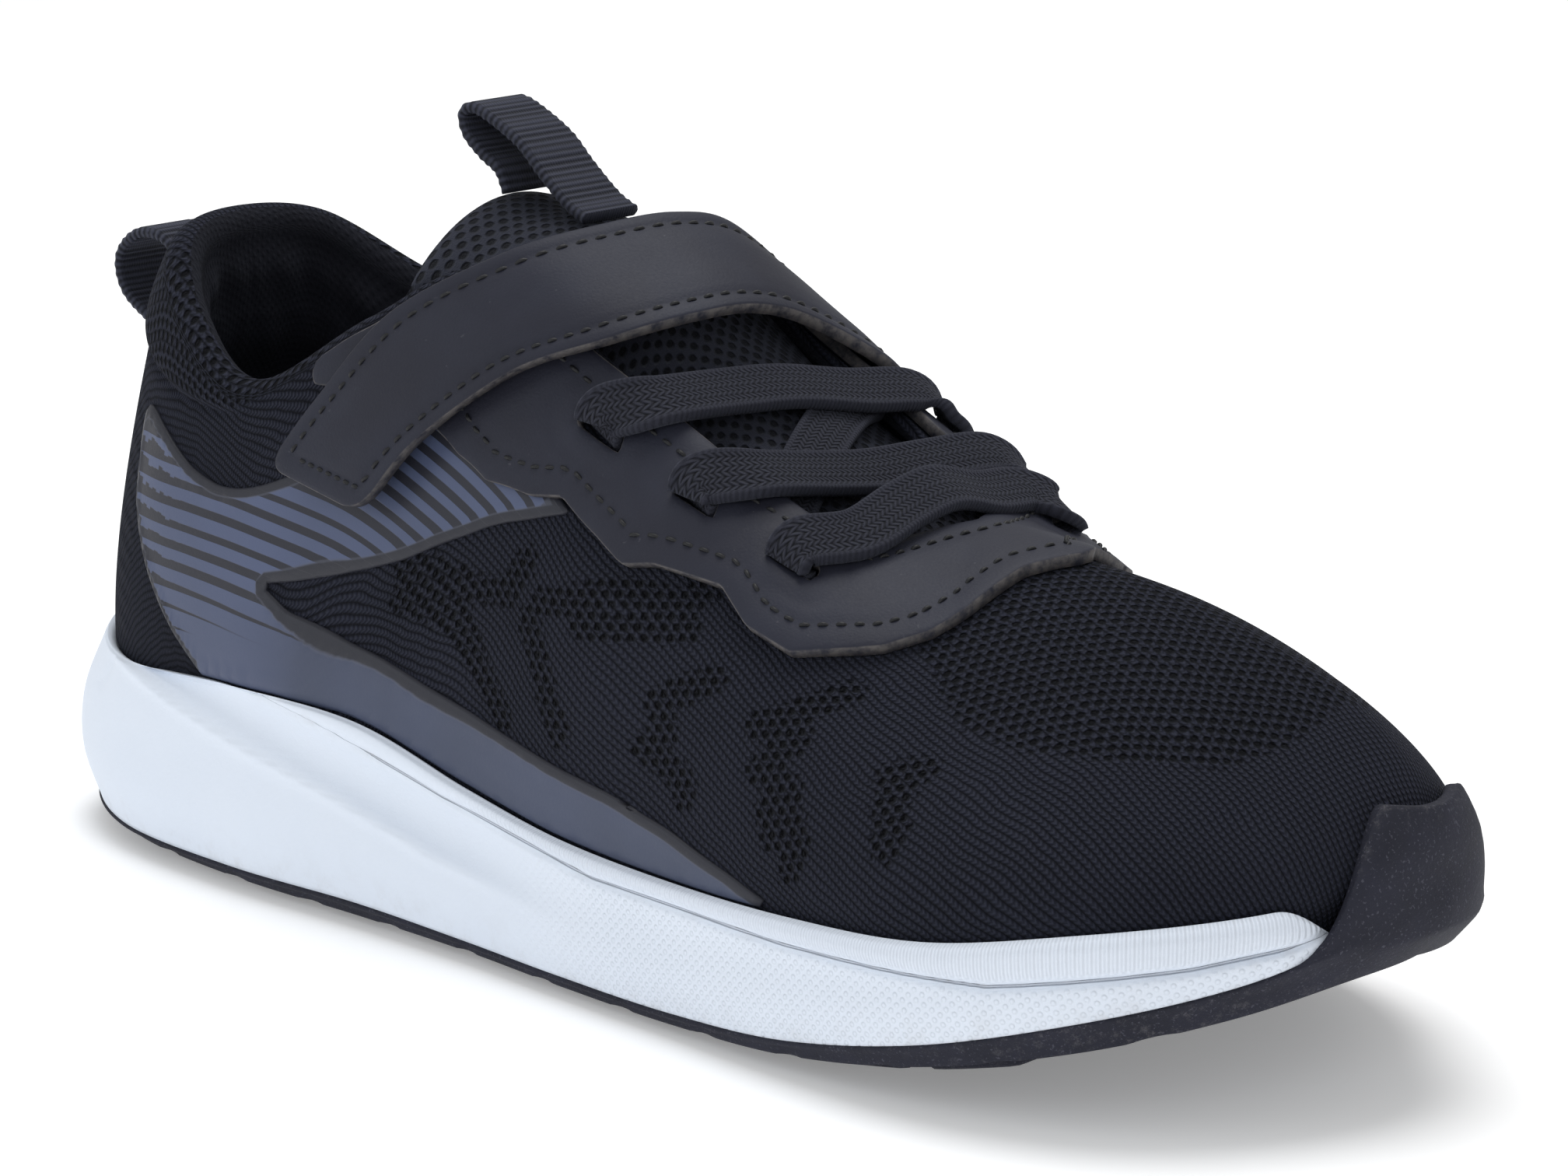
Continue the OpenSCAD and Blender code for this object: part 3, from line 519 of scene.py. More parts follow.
def stitches(name, runs, lift, body="shoe", pitch=2.3, length=1.7):
    """Rows of thread: each stitch is a short tube whose ends dive into the piece."""
    P, F = [], []
    ang = np.arange(STITCH_SIDES) / STITCH_SIDES * 2 * np.pi
    for run in runs:
        q = resample(np.asarray(run, float), pitch)
        if len(q) < 2:
            continue
        t = unit(np.diff(q, axis=0))
        q = q[:-1]
        pts, over = [np.stack([lift(q + t * s * length, np.full(len(q), h + more))
                               for s, h in zip(STITCH_AT, STITCH_RISE)], 1) for more in (0, 1)]
        nrm = unit(over - pts)
        tan = unit(pts[:, -1:] - pts[:, :1])
        side = unit(np.cross(tan, nrm))
        tube = pts[:, :, None] + STITCH_FAT * (side[:, :, None] * np.cos(ang)[None, None, :, None]
                                               + nrm[:, :, None] * np.sin(ang)[None, None, :, None])
        for s in tube:
            F.append(grid_faces(len(STITCH_AT), STITCH_SIDES, loop_m=True, base=len(P) * s[..., 0].size))
            P.append(s.reshape(-1, 3))
    piece(name, np.vstack(P), np.vstack(F), THREAD, body)


# ---- Materials ----
class Look:
    """A procedural material. Coordinates come from the mesh's mm attribute."""

    def __init__(self, name):
        self.mat = bpy.data.materials.new(name)
        self.mat.use_nodes = True
        self.tree = self.mat.node_tree
        self.tree.nodes.clear()
        output = self.tree.nodes.new("ShaderNodeOutputMaterial")
        self.bsdf = self.tree.nodes.new("ShaderNodeBsdfPrincipled")
        self.tree.links.new(self.bsdf.outputs[0], output.inputs[0])

    def put(self, socket, v):
        """Links or sets an input; a colour may lack its alpha."""
        if isinstance(v, bpy.types.NodeSocket):
            self.tree.links.new(v, socket)
        elif v is not None:
            socket.default_value = (*v, 1) if socket.type == "RGBA" else v

    def add(self, kind, inputs=(), out=0, **settings):
        node = self.tree.nodes.new(kind)
        for k, v in settings.items():
            setattr(node, k, v)
        for i, v in inputs.items() if isinstance(inputs, dict) else enumerate(inputs):
            self.put(node.inputs[i], v)
        return node.outputs[out]

    def m(self, op, a, b=None, c=None, clamp=False):
        return self.add("ShaderNodeMath", [a, b, c], operation=op, use_clamp=clamp)

    def plus(self, a, b):
        return self.m("ADD", a, b)

    def minus(self, a, b):
        return self.m("SUBTRACT", a, b)

    def times(self, a, b):
        return self.m("MULTIPLY", a, b)

    def inverse(self, a):
        return self.minus(1.0, a)

    def attribute(self, name="mm"):
        v = self.add("ShaderNodeAttribute", out=1, attribute_name=name)
        node = self.add("ShaderNodeSeparateXYZ", [v])
        return [node.node.outputs[k] for k in range(3)]

    def xyz(self, a, b, c=0.0):
        return self.add("ShaderNodeCombineXYZ", [a, b, c])

    def position(self):
        return self.add("ShaderNodeTexCoord", out=3)

    def turn(self, a, b, degrees):
        """The pair (a, b) in axes turned by an angle."""
        c, s = math.cos(math.radians(degrees)), math.sin(math.radians(degrees))
        x = self.plus(self.times(a, c), self.times(b, s))
        y = self.plus(self.times(a, -s), self.times(b, c))
        return x, y

    def noise(self, vector, scale, detail=2.0, rough=0.5):
        return self.add("ShaderNodeTexNoise",
                        {"Vector": vector, "Scale": scale, "Detail": detail, "Roughness": rough})

    def wave(self, x, pitch):
        """Between 0 and 1, once each pitch."""
        s = self.m("SINE", self.times(x, 2 * math.pi / pitch))
        return self.m("MULTIPLY_ADD", s, 0.5, 0.5)

    def saw(self, x, pitch):
        return self.m("FRACT", self.m("DIVIDE", x, pitch))

    def near(self, x, lo, hi):
        """0 below lo, 1 above hi, smooth between."""
        return self.add("ShaderNodeMapRange", {"Value": x, "From Min": lo, "From Max": hi},
                        interpolation_type="SMOOTHSTEP")

    def band(self, x, lo, hi, soft):
        return self.times(self.near(x, lo - soft, lo + soft),
                          self.inverse(self.near(x, hi - soft, hi + soft)))

    def mix(self, fac, a, b):
        """Colour a where fac is 0, b where it is 1."""
        return self.add("ShaderNodeMix", {0: fac, 6: a, 7: b}, out=2, data_type="RGBA")

    def choose(self, fac, a, b):
        """Number a where fac is 0, b where it is 1."""
        return self.add("ShaderNodeMix", {0: fac, 2: a, 3: b})

    def scale(self, x, lo, hi):
        return self.m("MULTIPLY_ADD", x, hi - lo, lo)

    def bump(self, height, depth):
        """A bump from a height of 0 to 1 that stands for depth mm."""
        return self.add("ShaderNodeBump", {"Strength": 1.0, "Distance": depth * MM, "Height": height})

    def finish(self, color, rough, bump=None, specular=0.3, sheen=0.0, sheen_tint=None):
        for socket, v in (("Base Color", color), ("Roughness", rough), ("Specular IOR Level", specular),
                          ("Sheen Weight", sheen), ("Sheen Roughness", 0.5), ("Sheen Tint", sheen_tint),
                          ("Normal", bump)):
            self.put(self.bsdf.inputs[socket], v)
        return self.mat


def srgb(r, g, b):
    """Colour values of 0 to 255 as a screen shows them, made linear."""
    return tuple((c / 255 / 12.92) if c / 255 <= 0.04045 else ((c / 255 + 0.055) / 1.055)**2.4
                 for c in (r, g, b))


def jersey(k, a, b, wale, course):
    """The V-shaped loops of a fine knit, 0 to 1, wales along a."""
    lean = k.m("ABSOLUTE", k.minus(k.saw(b, wale), 0.5))
    along_a = k.plus(a, k.times(lean, 1.1 * course))
    loop = k.wave(along_a, course)
    rib = k.m("SINE", k.times(k.saw(b, wale), math.pi))
    return k.plus(k.times(rib, 0.4), k.times(k.times(loop, rib), 0.6))


def holes(k, a, b, pitch_a, pitch_b, size, soft):
    """Staggered holes: 1 in a hole."""
    row = k.m("FLOOR", k.m("DIVIDE", b, pitch_b))
    odd = k.times(k.m("MODULO", k.m("ABSOLUTE", row), 2.0), 0.5 * pitch_a)
    x = k.minus(k.saw(k.plus(a, odd), pitch_a), 0.5)
    y = k.minus(k.saw(b, pitch_b), 0.5)
    far = k.m("SQRT", k.plus(k.times(k.times(x, x), pitch_a**2),
                             k.times(k.times(y, y), pitch_b**2)))
    return k.inverse(k.near(far, size - soft, size + soft))


def knit_look():
    k = Look("knit")
    a, b, _ = k.attribute()
    open_zone, zig, rib = k.attribute("zone")
    wob = k.noise(k.xyz(a, b), 0.12)
    a1, b1 = k.turn(a, b, -10)
    b1 = k.plus(b1, k.times(wob, 1.5))
    plain = jersey(k, a1, b1, 0.95, 0.8)
    big = holes(k, a1, b1, 1.9, 1.25, 0.48, 0.2)
    a2, b2 = k.turn(a, b, 35)
    small = holes(k, a2, b2, 1.7, 1.4, 0.5, 0.2)
    ribs = k.wave(k.turn(a, b, 52)[0], 3.1)
    fuzz = k.noise(k.xyz(a, b), 3.5, 3.0, 0.7)
    yarn = k.plus(k.times(plain, 0.8), k.times(fuzz, 0.35))
    open_h = k.minus(k.plus(k.times(k.wave(b1, 1.25), 0.35),
                            k.times(fuzz, 0.5)), k.times(big, 0.9))
    pits = k.times(zig, small)
    height = k.minus(yarn, k.times(pits, 1.1))
    height = k.choose(open_zone, height, open_h)
    height = k.plus(height, k.times(k.times(ribs, rib), 1.5))
    # Painted shade: the loops' ridges are lighter than the gaps between them, and the holes and pits are near
    # black, partly from the dark lining behind them and partly from painted shade.
    dark = k.m("MAXIMUM", pits, k.times(big, open_zone))
    hole_shade = k.inverse(k.times(dark, 0.9))
    tone = k.times(k.m("MULTIPLY_ADD", plain, 0.8, 0.3), hole_shade)
    tone = k.times(tone, k.scale(k.noise(k.xyz(a, b), 0.05, 3.0), 0.85, 1.15))
    flecks = k.near(k.noise(k.xyz(a, b), 2.2, 4.0, 0.8), 0.6, 0.85)
    base = k.mix(k.near(tone, 0.1, 1.1), srgb(5, 5, 7), srgb(47, 49, 61))
    color = k.mix(k.times(flecks, 0.35), base, srgb(60, 66, 84))
    return k.finish(color, 0.9, k.bump(height, 0.6), 0.06, 0.04, (0.6, 0.65, 0.8))


def lining_look():
    k = Look("lining")
    a, b, _ = k.attribute()
    h = k.plus(holes(k, a, b, 1.3, 1.1, 0.3, 0.2),
               k.noise(k.xyz(a, b), 4.0, 3.0, 0.7))
    color = k.mix(k.noise(k.xyz(a, b), 0.08, 3.0), srgb(20, 20, 25), srgb(34, 35, 42))
    return k.finish(color, 0.92, k.bump(h, 0.18), 0.08, 0.06, (0.5, 0.55, 0.7))


def mesh_look():
    """Spacer mesh: diamonds of yarn round open holes."""
    k = Look("tongue_mesh")
    a, b, _ = k.attribute()
    hole = holes(k, a, b, 2.6, 1.35, 0.62, 0.22)
    fuzz = k.noise(k.xyz(a, b), 4.0, 3.0, 0.7)
    h = k.minus(k.m("MULTIPLY_ADD", fuzz, 0.4, 0.6), hole)
    lit = k.m("SUBTRACT", k.m("MULTIPLY_ADD", fuzz, 0.5, 0.6), k.times(hole, 0.8), clamp=True)
    color = k.mix(lit, srgb(7, 7, 9), srgb(50, 52, 63))
    return k.finish(color, 0.85, k.bump(h, 0.7), 0.12, 0.08, (0.6, 0.65, 0.8))


def leather_look():
    k = Look("synthetic_leather")
    p = k.position()
    _, _, edge = k.attribute()
    grain = k.add("ShaderNodeTexVoronoi", {"Vector": p, "Scale": 1500.0}, feature="DISTANCE_TO_EDGE")
    fine = k.noise(p, 2600.0, 4.0, 0.65)
    broad = k.noise(p, 60.0, 3.0)
    cut_edge = k.inverse(k.near(edge, 0.02, 0.22))
    dust = k.near(k.noise(p, 900.0, 2.0, 0.5), 0.72, 0.8)
    tone = k.mix(k.near(broad, 0.3, 0.7), srgb(34, 35, 46), srgb(40, 42, 54))
    tone = k.mix(k.times(dust, 0.35), tone, srgb(92, 92, 98))
    # Pale cut edge: a painted highlight along the leather's edge, broken up by noise.
    edge_highlight = k.times(cut_edge, k.near(k.noise(p, 500.0, 3.0, 0.7), 0.25, 0.7))
    color = k.mix(k.times(edge_highlight, 0.8), tone, srgb(104, 100, 98))
    rough = k.scale(fine, 0.5, 0.68)
    height = k.plus(k.times(grain, 0.7), k.times(fine, 0.6))
    return k.finish(color, rough, k.bump(height, 0.05), 0.25)


def thread_look():
    k = Look("thread")
    p = k.position()
    color = k.mix(k.noise(p, 1800.0, 2.0), srgb(10, 10, 12), srgb(26, 27, 31))
    return k.finish(color, 0.55, k.bump(k.noise(p, 4000.0, 2.0), 0.05), 0.4)


def elastic_look():
    k = Look("elastic")
    a, b, edge = k.attribute()
    fuzz = k.noise(k.xyz(a, b), 4.0, 3.0, 0.7)
    zig = k.m("ABSOLUTE", k.minus(k.saw(b, 1.5), 0.5))
    slant = k.wave(k.plus(a, k.times(zig, 1.6)), 0.85)
    bead = k.m("SINE", k.times(k.saw(b, 0.75), math.pi))
    weave = k.plus(k.times(slant, 0.6), k.times(bead, 0.3))
    side = k.inverse(k.near(edge, 0.75, 0.95))
    h = k.choose(side, weave, k.m("MULTIPLY_ADD", k.wave(a, 0.6), 0.25, 0.5))
    h = k.plus(h, k.times(fuzz, 0.45))
    # Painted shade and highlight: the weave's hollows are darker and its raised yarns lighter.
    color = k.mix(k.near(h, 0.15, 1.15), srgb(9, 9, 12), srgb(51, 52, 62))
    return k.finish(color, 0.85, k.bump(h, 0.4), 0.12, 0.08, (0.6, 0.65, 0.8))


def webbing_look():
    k = Look("webbing")
    a, b, _ = k.attribute()
    rib = k.wave(a, 1.05)
    yarn = k.wave(b, 0.45)
    h = k.plus(k.times(rib, 0.7), k.times(yarn, 0.2))
    # Painted shade and highlight: the hollows between the ribs are darker and the rib tops lighter.
    color = k.mix(k.near(k.plus(h, k.times(k.noise(k.xyz(a, b), 2.0), 0.4)), 0.1, 1.2),
                  srgb(24, 25, 31), srgb(58, 60, 73))
    return k.finish(color, 0.75, k.bump(h, 0.22), 0.15, 0.08, (0.6, 0.65, 0.8))


def film_look():
    """Bonded film: slanting paint stripes on a dark base, closing up to plain paint on the lower branch."""
    k = Look("film")
    p = k.position()
    sep = k.add("ShaderNodeSeparateXYZ", [p])
    x = k.m("MULTIPLY_ADD", sep, 1000.0, 90.0)
    z = k.times(sep.node.outputs[2], 1000.0)
    _, _, edge = k.attribute()
    start, plain, shade = k.attribute("zone")
    slope = k.times(k.m("POWER", k.m("MAXIMUM", x, 0.0), 3.0), 0.00003)
    drift = k.times(k.noise(p, 28.0, 1.0), 2.4)
    line = k.m("DIVIDE", k.plus(k.plus(z, slope), drift), 2.7)
    row = k.m("FLOOR", line)
    part = k.m("FRACT", line)
    # Each stripe starts in its own ragged steps
    step = k.m("FLOOR", k.times(x, 0.9))
    jag = k.add("ShaderNodeTexWhiteNoise", {"Vector": k.xyz(step, row)}, out=0, noise_dimensions="2D")
    own = k.add("ShaderNodeTexWhiteNoise", {"Vector": k.xyz(row, 3.0)}, out=0, noise_dimensions="2D")
    ragged = k.times(k.minus(jag, 0.5), k.times(start, 0.5))
    gap = k.plus(k.times(k.inverse(plain), k.m("MULTIPLY_ADD", own, 0.2, 0.3)), ragged)
    gap = k.plus(gap, k.times(k.times(start, start), 0.35))
    light = k.near(k.minus(part, gap), 0.0, 0.05)
    solid = k.near(plain, 0.75, 0.95)
    light = k.m("MAXIMUM", light, solid)
    border = k.inverse(k.near(edge, 1.2, 1.4))
    fine = k.noise(p, 2200.0, 3.0, 0.6)
    paint = k.mix(shade, srgb(80, 89, 117), srgb(64, 71, 91))
    paint = k.mix(k.times(k.near(k.noise(p, 60.0, 2.0), 0.3, 0.7), 0.4), paint, srgb(72, 80, 104))
    color = k.mix(light, srgb(40, 41, 50), paint)
    color = k.mix(border, color, srgb(42, 43, 51))
    glint = k.times(k.band(edge, 1.2, 1.45, 0.08), 0.4)
    color = k.mix(glint, color, srgb(84, 87, 100))
    h = k.plus(k.times(fine, 0.4), k.times(light, 0.5))
    return k.finish(color, k.scale(fine, 0.38, 0.55), k.bump(h, 0.05), 0.3)


def foam_look():
    k = Look("midsole_foam")
    a, b, parting = k.attribute()
    upper_band, lower_band, grime = k.attribute("zone")
    # Mask of the parting line's groove: it sinks the bump and carries a painted shadow.
    line = k.inverse(k.near(k.m("ABSOLUTE", parting), 0.06, 0.26))
    ribs = k.wave(a, 0.95)
    dots = holes(k, k.turn(a, b, 45)[0], k.turn(a, b, 45)[1], 1.1, 1.1, 0.3, 0.15)
    p = k.position()
    h = k.plus(k.times(k.times(ribs, upper_band), 0.9),
               k.times(k.times(dots, lower_band), 0.5))
    h = k.plus(h, k.times(k.noise(p, 1500.0, 3.0, 0.6), 0.25))
    h = k.minus(h, k.times(line, 1.2))
    base = k.mix(k.noise(p, 35.0, 3.0), srgb(220, 228, 240), srgb(229, 236, 246))
    dirt = k.times(grime, k.near(k.noise(p, 220.0, 5.0, 0.7), 0.45, 0.75))
    color = k.mix(k.times(dirt, 0.35), base, srgb(176, 172, 168))
    # Painted shadow along the parting line's groove.
    color = k.mix(k.times(line, 0.35), color, srgb(122, 128, 142))
    return k.finish(color, k.scale(k.noise(p, 300.0), 0.5, 0.65), k.bump(h, 0.24), 0.3)


def rubber_look():
    k = Look("outsole_rubber")
    p = k.position()
    _, _, wear = k.attribute("zone")
    speck = k.near(k.noise(p, 2600.0, 2.0, 0.5), 0.6, 0.7)
    broad = k.noise(p, 90.0, 4.0, 0.6)
    base = k.mix(k.near(broad, 0.3, 0.7), srgb(33, 34, 44), srgb(41, 42, 54))
    color = k.mix(k.times(speck, 0.4), base, srgb(96, 96, 108))
    scuff = k.times(wear, k.near(k.noise(p, 620.0, 6.0, 0.8), 0.5, 0.72))
    color = k.mix(k.times(scuff, 0.5), color, srgb(118, 116, 120))
    h = k.plus(k.noise(p, 1800.0, 4.0, 0.7), k.times(scuff, -0.6))
    return k.finish(color, k.scale(broad, 0.6, 0.78), k.bump(h, 0.12), 0.22)


def plain_cloth_look(name, low, high, scale, depth, rough=0.85):
    """Pile, foam or board: mottled, with a fine surface."""
    k = Look(name)
    p = k.position()
    fine = k.noise(p, scale, 4.0, 0.7)
    color = k.mix(k.m("MULTIPLY_ADD", k.noise(p, scale / 12, 3.0), 0.5, k.times(fine, 0.5)),
                  srgb(*low), srgb(*high))
    return k.finish(color, rough, k.bump(fine, depth), 0.2, 0.1)


KNIT = knit_look()
LINING = lining_look()
MESH = mesh_look()
LEATHER = leather_look()
THREAD = thread_look()
ELASTIC = elastic_look()
WEBBING = webbing_look()
FILM = film_look()
FOAM = foam_look()
RUBBER = rubber_look()
INSOLE = plain_cloth_look("insole_textile", (18, 18, 23), (34, 35, 43), 1800.0, 0.2)
PILE = plain_cloth_look("loop_pile", (14, 14, 17), (32, 33, 38), 2600.0, 0.5)
HOOKS = plain_cloth_look("hook_plastic", (12, 12, 15), (40, 41, 46), 3200.0, 0.5, 0.5)
BOARD = plain_cloth_look("board", (190, 184, 168), (214, 208, 194), 900.0, 0.1)
STIFFENER = plain_cloth_look("stiffener", (170, 156, 126), (192, 178, 150), 1200.0, 0.08)


# ---- Shared shapes ----
GAP = 0.15
KNIT_T, LINING_T, COUNTER_T, FOAM_T, PUFF_T = 1.6, 0.7, 1.4, 4.6, 0.8
FILM_T, LEATHER_T, TAPE_T, STRAP_T = 0.5, 1.2, 0.9, 1.9
STAY_D0 = FILM_T + 2 * GAP
STAY_D1 = STAY_D0 + LEATHER_T
STRAP_LIFT = STAY_D1 + 0.35
GRIP_LIFT = STRAP_LIFT + TAPE_T


def tidy_faces(faces):
    """Faces without repeated corners."""
    out = []
    for f in faces:
        g = [int(v) for i, v in enumerate(f) if v != f[i - 1]]
        if len(set(g)) > 2:
            out.append(g)
    return out


def curve_rows(P, parts):
    """More rows between the rows of P, on smooth curves."""
    u = np.arange((len(P) - 1) * parts + 1) / parts
    return along(P.reshape(len(P), -1), u).reshape(-1, *P.shape[1:])


def ring_faces(n, m):
    """Faces of n closed-round profiles of m points, filled across at both ends."""
    faces = grid_faces(n, m, loop_n=True).tolist()
    for i in range(n // 2):
        a, b, c, d = i, i + 1, (n - i - 1) % n, (n - i) % n
        faces.append([b * m, a * m, d * m, c * m])
        faces.append([a * m + m - 1, b * m + m - 1, c * m + m - 1, d * m + m - 1])
    return tidy_faces(faces)


def loop_faces(n, m):
    """Faces of n sections of m points each, capped at both ends."""
    faces = grid_faces(n, m, loop_m=True).tolist()
    faces.append(list(range(m))[::-1])
    faces.append([(n - 1) * m + j for j in range(m)])
    return faces


def line_reach(q, lines):
    """Distance from points to the nearest of some open lines."""
    best = np.full(len(q), 1e9)
    for line in lines:
        line = np.asarray(line, float)
        for a, b in zip(line[:-1], line[1:]):
            ab = b - a
            t = np.clip(((q - a) @ ab) / (ab @ ab), 0, 1)
            best = np.minimum(best, np.linalg.norm(q - a - t[:, None] * ab, axis=1))
    return best


def depth_inside(q, outline):
    """Signed distance to an outline, positive inside it."""
    outline = np.asarray(outline, float)
    reach = line_reach(q, [np.vstack([outline, outline[:1]])])
    return np.where(contains([outline], q), reach, -reach)


# Distance round the shoe, for patterns that follow the sole
ROUND = lengths(feather(TU))


def round_mm(u):
    return np.interp(np.mod(u, N), TU, ROUND)


# ---- Sole ----
US = TU[:-1]
W_US = from_heel(US)
PLATE_T, BUMPER_T = 2.6, 2.2


def sole_piece():
    r = along(SOLE, W_US)
    f = feather(US)
    x, fz = f[:, 0], f[:, 2]
    b = ramp(11.3, 12.1, W_US)
    low = r[:, 1] + PLATE_T + GAP
    rise = fz - r[:, 3]

    def at(o, z):
        return on_sole(US, o + 0 * x, z)

    def both(o0, z0, o1, z1):
        return at(o0, z0) * (1 - b)[:, None] + at(o1, z1) * b[:, None]

    side = np.array([
        both(r[:, 4], r[:, 3] + GAP, -0.4, r[:, 0] - 0.55),
        both(r[:, 5], r[:, 3] + rise * 0.3, -0.36, r[:, 0] - 0.5),
        both(r[:, 5] - 0.4, r[:, 3] + rise * 0.62, -0.36, r[:, 0] - 0.45),
        both(1.9, fz - 1.2, -0.38, r[:, 0] - 0.4),
        both(1.1, fz + 0.25, -0.4, r[:, 0] - 0.35)])
    side = curve_rows(side, 11)
    z = side[..., 2]
    # The parting line sweeps down from the heel and then runs level to the toe
    line_x = np.array([-112, -95, -70, -45, -17.9, 12.7, 50.3, 80.8, 101, 111.2])
    line_z = np.array([33, 32.6, 31, 27, 21.6, 17.5, 17.2, 18.2, 22, 25.2])
    wave_z = np.interp(x, line_x, line_z)[None]
    low_z = np.interp(x, [-112, -80, -50, -20, 10, 40], [30, 25.5, 19.5, 13.5, 10, 9.4])[None]
    here = (1 - b)[None]
    gap = z - wave_z
    forward = ramp(-62, -18, x)[None]
    heel = (1 - ramp(-30, 14, x))[None]
    groove = -0.75 * np.exp(-(gap / 0.45)**2) * ramp(-80, -35, x)[None]
    shelf = 0.55 * ramp(0.2, 2.2, gap) * forward
    scoop_mid = (wave_z + low_z) / 2
    scoop_half = np.maximum((wave_z - low_z) / 2, 0.5)
    scoop = -1.9 * np.clip(1 - ((z - scoop_mid) / scoop_half)**2, 0, 1) * heel * ramp(-112, -92, x)[None]
    crest = 0.55 * np.exp(-((z - low_z) / 1.1)**2) * heel * ramp(-112, -90, x)[None]
    tab_x, tab_z = -101.0, 27.0
    tab_d = np.abs(np.hypot((x[None] - tab_x) / 1.3, z - tab_z) - 7.5)
    tab = -0.35 * np.exp(-(tab_d / 0.5)**2) * (z > 21) * (1 - ramp(-92, -88, x))[None]
    push = (groove + shelf + scoop + crest + tab) * here
    edge_keep = ramp(0, 0.08, np.linspace(0, 1, len(side)))[:, None]
    end_keep = 1 - ramp(0.9, 1.0, np.linspace(0, 1, len(side)))[:, None]
    side = side + outward(US)[None] * (push * edge_keep * end_keep)[..., None]
    rows = np.concatenate([
        [at(-6, low)], [at(-1.5 - 2.2 * b, low)],
        [both(r[:, 4] - 1.25, r[:, 3] + GAP, -0.5, r[:, 0] - 0.6)], side,
        [both(GAP, fz - 0.3, -0.5, r[:, 0] - 0.3)], [at(GAP - 2.5, r[:, 0] - 0.1)], [at(-6, r[:, 0] - 0.1)]])
    P = rows.transpose(1, 0, 2)
    n, m = P.shape[:2]
    zz = P[..., 2]
    g = zz - np.interp(x, line_x, line_z)[:, None]
    parting = g * (1 + 15 * (1 - ramp(-52, -30, x)) + 15 * b)[:, None]
    mm = triples(round_mm(US)[:, None], zz, parting)
    upper_band = ramp(0.5, 1.2, g) * ramp(-25, 5, x)[:, None]
    lower_band = (1 - ramp(-1.0, -0.4, g)) * ramp(-10, 20, x)[:, None]
    grime = np.exp(-np.abs(zz - r[:, 3:4]) / 2.2) + np.exp(-np.abs(g) / 0.5) * 0.7
    zone = triples(upper_band, lower_band, np.clip(grime, 0, 1))
    piece("midsole_body", P, ring_faces(n, m), FOAM, mm=mm, zone=zone,
          replaces=("midsole",), closed=True)


HEEL_TO_TOE = np.linspace(0, TOE, PER_ROW * TOE + 1)


def ground_z(x):
    """Height of the sole's ground edge at x."""
    return np.interp(x, feather(HEEL_TO_TOE)[:, 0], along(SOLE, HEEL_TO_TOE)[:, 1])


